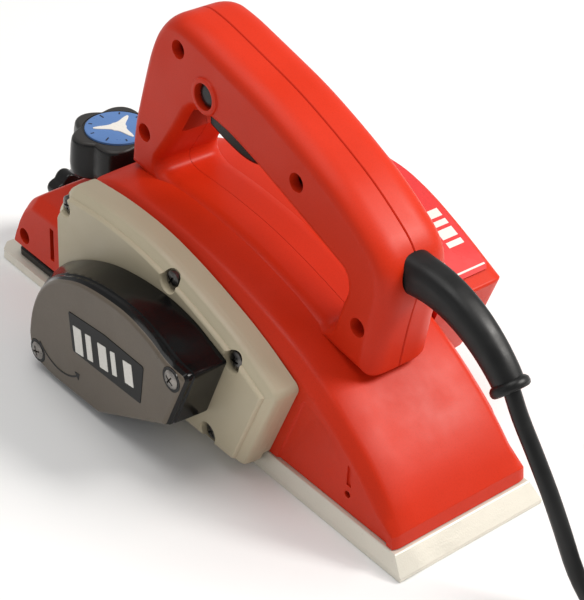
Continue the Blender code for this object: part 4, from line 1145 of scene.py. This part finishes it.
def make_trigger(mats):
    outline = [(24.8, 119.5, 2), (25.4, 128), (25.4, 137.5, 1.5), (14, 137.6), (-8, 135.6), (-17, 133, 3),
               (-21, 127, 3), (-16.5, 118.5), (-9, 114), (0, 113.2), (12, 115.5)]
    stations = eased(-7, -3.4, 2.6)[::-1] + eased(7, 3.4, 2.6)
    trigger = side_solid("switch_trigger", outline, stations, mats["black"])
    finish(trigger, 0, 40, "trigger_body", "black_plastic", "trigger")
    dome = [(0, 17.3), (2.6, 17.5), (4.4, 17.3), (5.2, 16.8), (5.6, 15.9), (5.6, 10.4), (0, 10.4)]
    button = turned("lock_on_button", dome, "Y", LOCK_BUTTON_AT, mats["black"])
    finish(button, 0, 40, "lock_button_body", "black_plastic", "lock_button")


# ---- knobs


def lobed(radius_corner, radius_waist, inset, steps=144):
    """A rounded star with six lobes."""
    made = []
    for k in range(steps):
        angle = 2 * pi * k / steps
        wave = (0.5 + 0.5 * cos(6 * (angle - radians(20)))) ** 0.62
        radius = radius_waist + (radius_corner - radius_waist) * wave - inset
        made.append((radius * cos(angle), radius * sin(angle)))
    return made


def make_depth_knob(mats):
    x, y = KNOB_AXIS
    low, high = KNOB_Z
    stations = [(low, 2.2), (low + 0.5, 1), (low + 1.6, 0.3), (low + 6, 0), (high - 4.6, 0.6)]
    stations += eased(high, high - 2.6, 2.4, 1, 7)
    rings = [[(x + a, y + b, z) for a, b in lobed(24.5, 20.4, inset)] for z, inset in stations]
    knob = loft("depth_knob_shell", rings, mats["black"])
    neck = turned("neck", [(0, 48.8), (10.6, 48.8), (11, 49.2), (11, 62), (0, 62)], "Z", KNOB_AXIS)
    hollow = [(0, high - 0.45), (17.2, high - 0.45), (17.4, high + 3), (0, high + 3)]
    join(knob, neck)
    cut(knob, turned("dish", hollow, "Z", KNOB_AXIS), rod("stem_bore", "Z", KNOB_AXIS, 4.2, 40, 76))
    finish(knob, 0.2, 34, "depth_knob_body", "black_plastic", "depth_knob")
    face_look(knob, mats["knob_top"], 2, high - 1, 0.55)
    plate = [(0, high + 0.75), (15.2, high + 0.75), (15.9, high + 0.45), (16, high - 0.4), (0, high - 0.4)]
    disc = turned("dial_disc", plate, "Z", KNOB_AXIS, mats["blue"], 72)
    finish(disc, 0, 40, "depth_knob_body", "dial_blue", "dial_plate")
    pointer = []
    arm_shape = (
        (-60, 4.3), (-44, 4), (-28, 4.6), (-15, 6.4), (-8, 9.4), (0, 13.6), (8, 9.4), (15, 6.4), (28, 4.6),
        (44, 4),
    )
    for arm in (62, 182, 302):
        for offset, radius in arm_shape:
            angle = radians(arm + offset)
            pointer.append((x + radius * cos(angle), y + radius * sin(angle)))
    steps = [(high + 0.5, 0), (high + 0.95, 0), (high + 1.1, 0.15)]
    star = plan_solid("dial_pointer", pointer, steps, mats["white"], 3)
    finish(star, 0, 40, "depth_knob_body", "label_film")
    for i in range(9):
        angle = radians(62 + 40 * i + 20)
        ahead = Vector((cos(angle), sin(angle)))
        side = Vector((-ahead.y, ahead.x)) * 0.35
        near, far = (11.4, 14.4) if i % 3 == 1 else (12.6, 14.4)
        corners = [ahead * near - side, ahead * far - side, ahead * far + side, ahead * near + side]
        tick = plan_solid(f"dial_tick_{i + 1}", [(x + c.x, y + c.y, 0.1) for c in corners],
                          [(high + 0.5, 0), (high + 0.86, 0)], mats["ink"], 1)
        finish(tick, 0, 32, "depth_knob_body", "label_film")


def make_depth_spring(mats):
    """The compression spring between the housing and the front shoe's carrier."""
    x, y = KNOB_AXIS
    low, high, radius, wire = 29.6, 42.3, 7.1, 0.85
    turns, per_turn = 4.5, 28
    count = int(turns * per_turn)
    rings = []
    for k in range(count + 1):
        share = k / count
        angle = 2 * pi * turns * share
        ease = min(1, max(0, (share - 0.14) / 0.72))
        middle = low + wire + (high - low - 2 * wire) * ease
        out = Vector((cos(angle), sin(angle), 0))
        centre = Vector((x, y, middle)) + out * radius
        rings.append([
            centre + out * wire * cos(2 * pi * j / 10) + Vector((0, 0, wire * sin(2 * pi * j / 10)))
            for j in range(10)
        ])
    spring = loft("coil_spring", rings, mats["steel"])
    finish(spring, 0, 60, ROOT, "steel", "depth_spring")
    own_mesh(spring)


def make_fence_knob(mats):
    y, z = FENCE_KNOB_AT
    rings = []
    for x, inset in [(139.6, 0.8), (140.2, 0.2), (141, 0)] + eased(149, 146.6, 2.4, 0, 5):
        rings.append([(x, y + a, z + b) for a, b in lobed(11, 9.2, inset, 96)])
    knob = loft("fence_knob_shell", rings, mats["black"])
    cut(knob, rod("fence_bore", "X", FENCE_KNOB_AT, 2, 130, 145))
    finish(knob, 0.2, 36, "fence_knob_body", "black_plastic", "fence_clamp_knob")


# ---- screws


def make_screw(node, at, sign, head_top, head_radius, head_high, shank_radius, tip, mat, slot, washer=None):
    """A pan-head screw along Y with a cross recess; sign is the way its head faces."""
    outer = sign * head_top
    head = [
        (0, 0), (head_radius * 0.45, 0.08), (head_radius * 0.8, 0.45), (head_radius, 1.05),
        (head_radius, head_high), (shank_radius, head_high),
    ]
    profile = [(radius, outer - sign * drop) for radius, drop in head]
    profile += [(shank_radius, tip + sign), (0, tip)]
    screw = turned(node + "_head", profile, "Y", at, mat, 32)
    depth = min(1.3, head_high * 0.6)
    x, z = at
    turn = radians(18 + 37 * (sum(map(ord, node)) % 5))
    place = Matrix.Translation(Vector((x, 0, z)) * MM)
    reach, half = head_radius * 0.6, 0.42
    low, high = sorted((outer - sign * depth, outer + sign))
    for quarter in (0, pi / 2):
        bar = block("cross", (-reach, low, -half), (reach, high, half))
        bar.data.transform(place @ Matrix.Rotation(turn + quarter, 4, "Y"))
        cut(screw, bar)
    finish(screw, 0, 40, ROOT, slot, node)
    if washer:
        hole, rim, foot, top = 4.5, 5.7, 78.15, 78.5
        section = [(hole, foot), (rim, foot), (rim, top), (hole, top), (hole, foot)]
        ring = turned(node + "_washer", section, "Y", at, washer, 40)
        finish(ring, 0, 40, ROOT, slot)


def make_screws(mats):
    dark, bright = (mats["dark_steel"], "dark_steel"), (mats["screw"], "steel", mats["gloss"])
    sets = [
        ("handle", HANDLE_SCREWS, (1, 10.2, 3.4, 2.4, 1.7, -12), dark),
        ("frame", FRAME_SCREWS, (1, 52.6, 4.2, 2.7, 1.9, 33), dark),
        ("cover", COVER_SCREWS, (1, COVER_FACE_Y + 1.2, 4.3, 2.3, 1.9, 45), bright),
        ("end_cover", END_COVER_SCREWS, (-1, 79.9, 3.7, 2.7, 1.9, -33), dark),
    ]
    for kind, places, sizes, look in sets:
        for i, at in enumerate(places):
            make_screw(f"{kind}_screw_{i + 1}", at, *sizes, *look)


# ---- pieces kept from the CAD


def dress_kept(mats):
    looks = {
        "steel": [
            "cutter_drum", "blade_1", "blade_2", "drum_bearing_left", "drum_bearing_right",
            "motor_bearing_left", "motor_bearing_right", "depth_screw",
        ],
        "dark_steel": [
            "blade_clamp_1", "blade_clamp_2", "drum_pulley", "motor_pulley", "armature", "field_stator",
        ],
        "black": ["fan", "switch_body", "cord_clamp"],
        "brass": ["brush_holder_1", "brush_holder_2"],
        "carbon": ["carbon_brush_1", "carbon_brush_2"],
        "rubber": ["drive_belt"],
        "copper": ["commutator"],
    }
    for look, nodes in looks.items():
        for obj in bpy.data.objects:
            if obj.type == "MESH" and obj.name.split(".")[0] in nodes:
                for slot in obj.material_slots:
                    slot.material = mats[look]


def main():
    make_camera()
    mats = make_materials()
    make_lead(mats)
    make_lights()
    make_floor()
    makers = (
        make_housing, make_soles, make_side_frame, make_belt_cover, make_end_cover, make_chip_chute,
        make_handle, make_trigger, make_depth_knob, make_depth_spring, make_fence_knob, make_screws,
        dress_kept,
    )
    for make in makers:
        make(mats)


main()
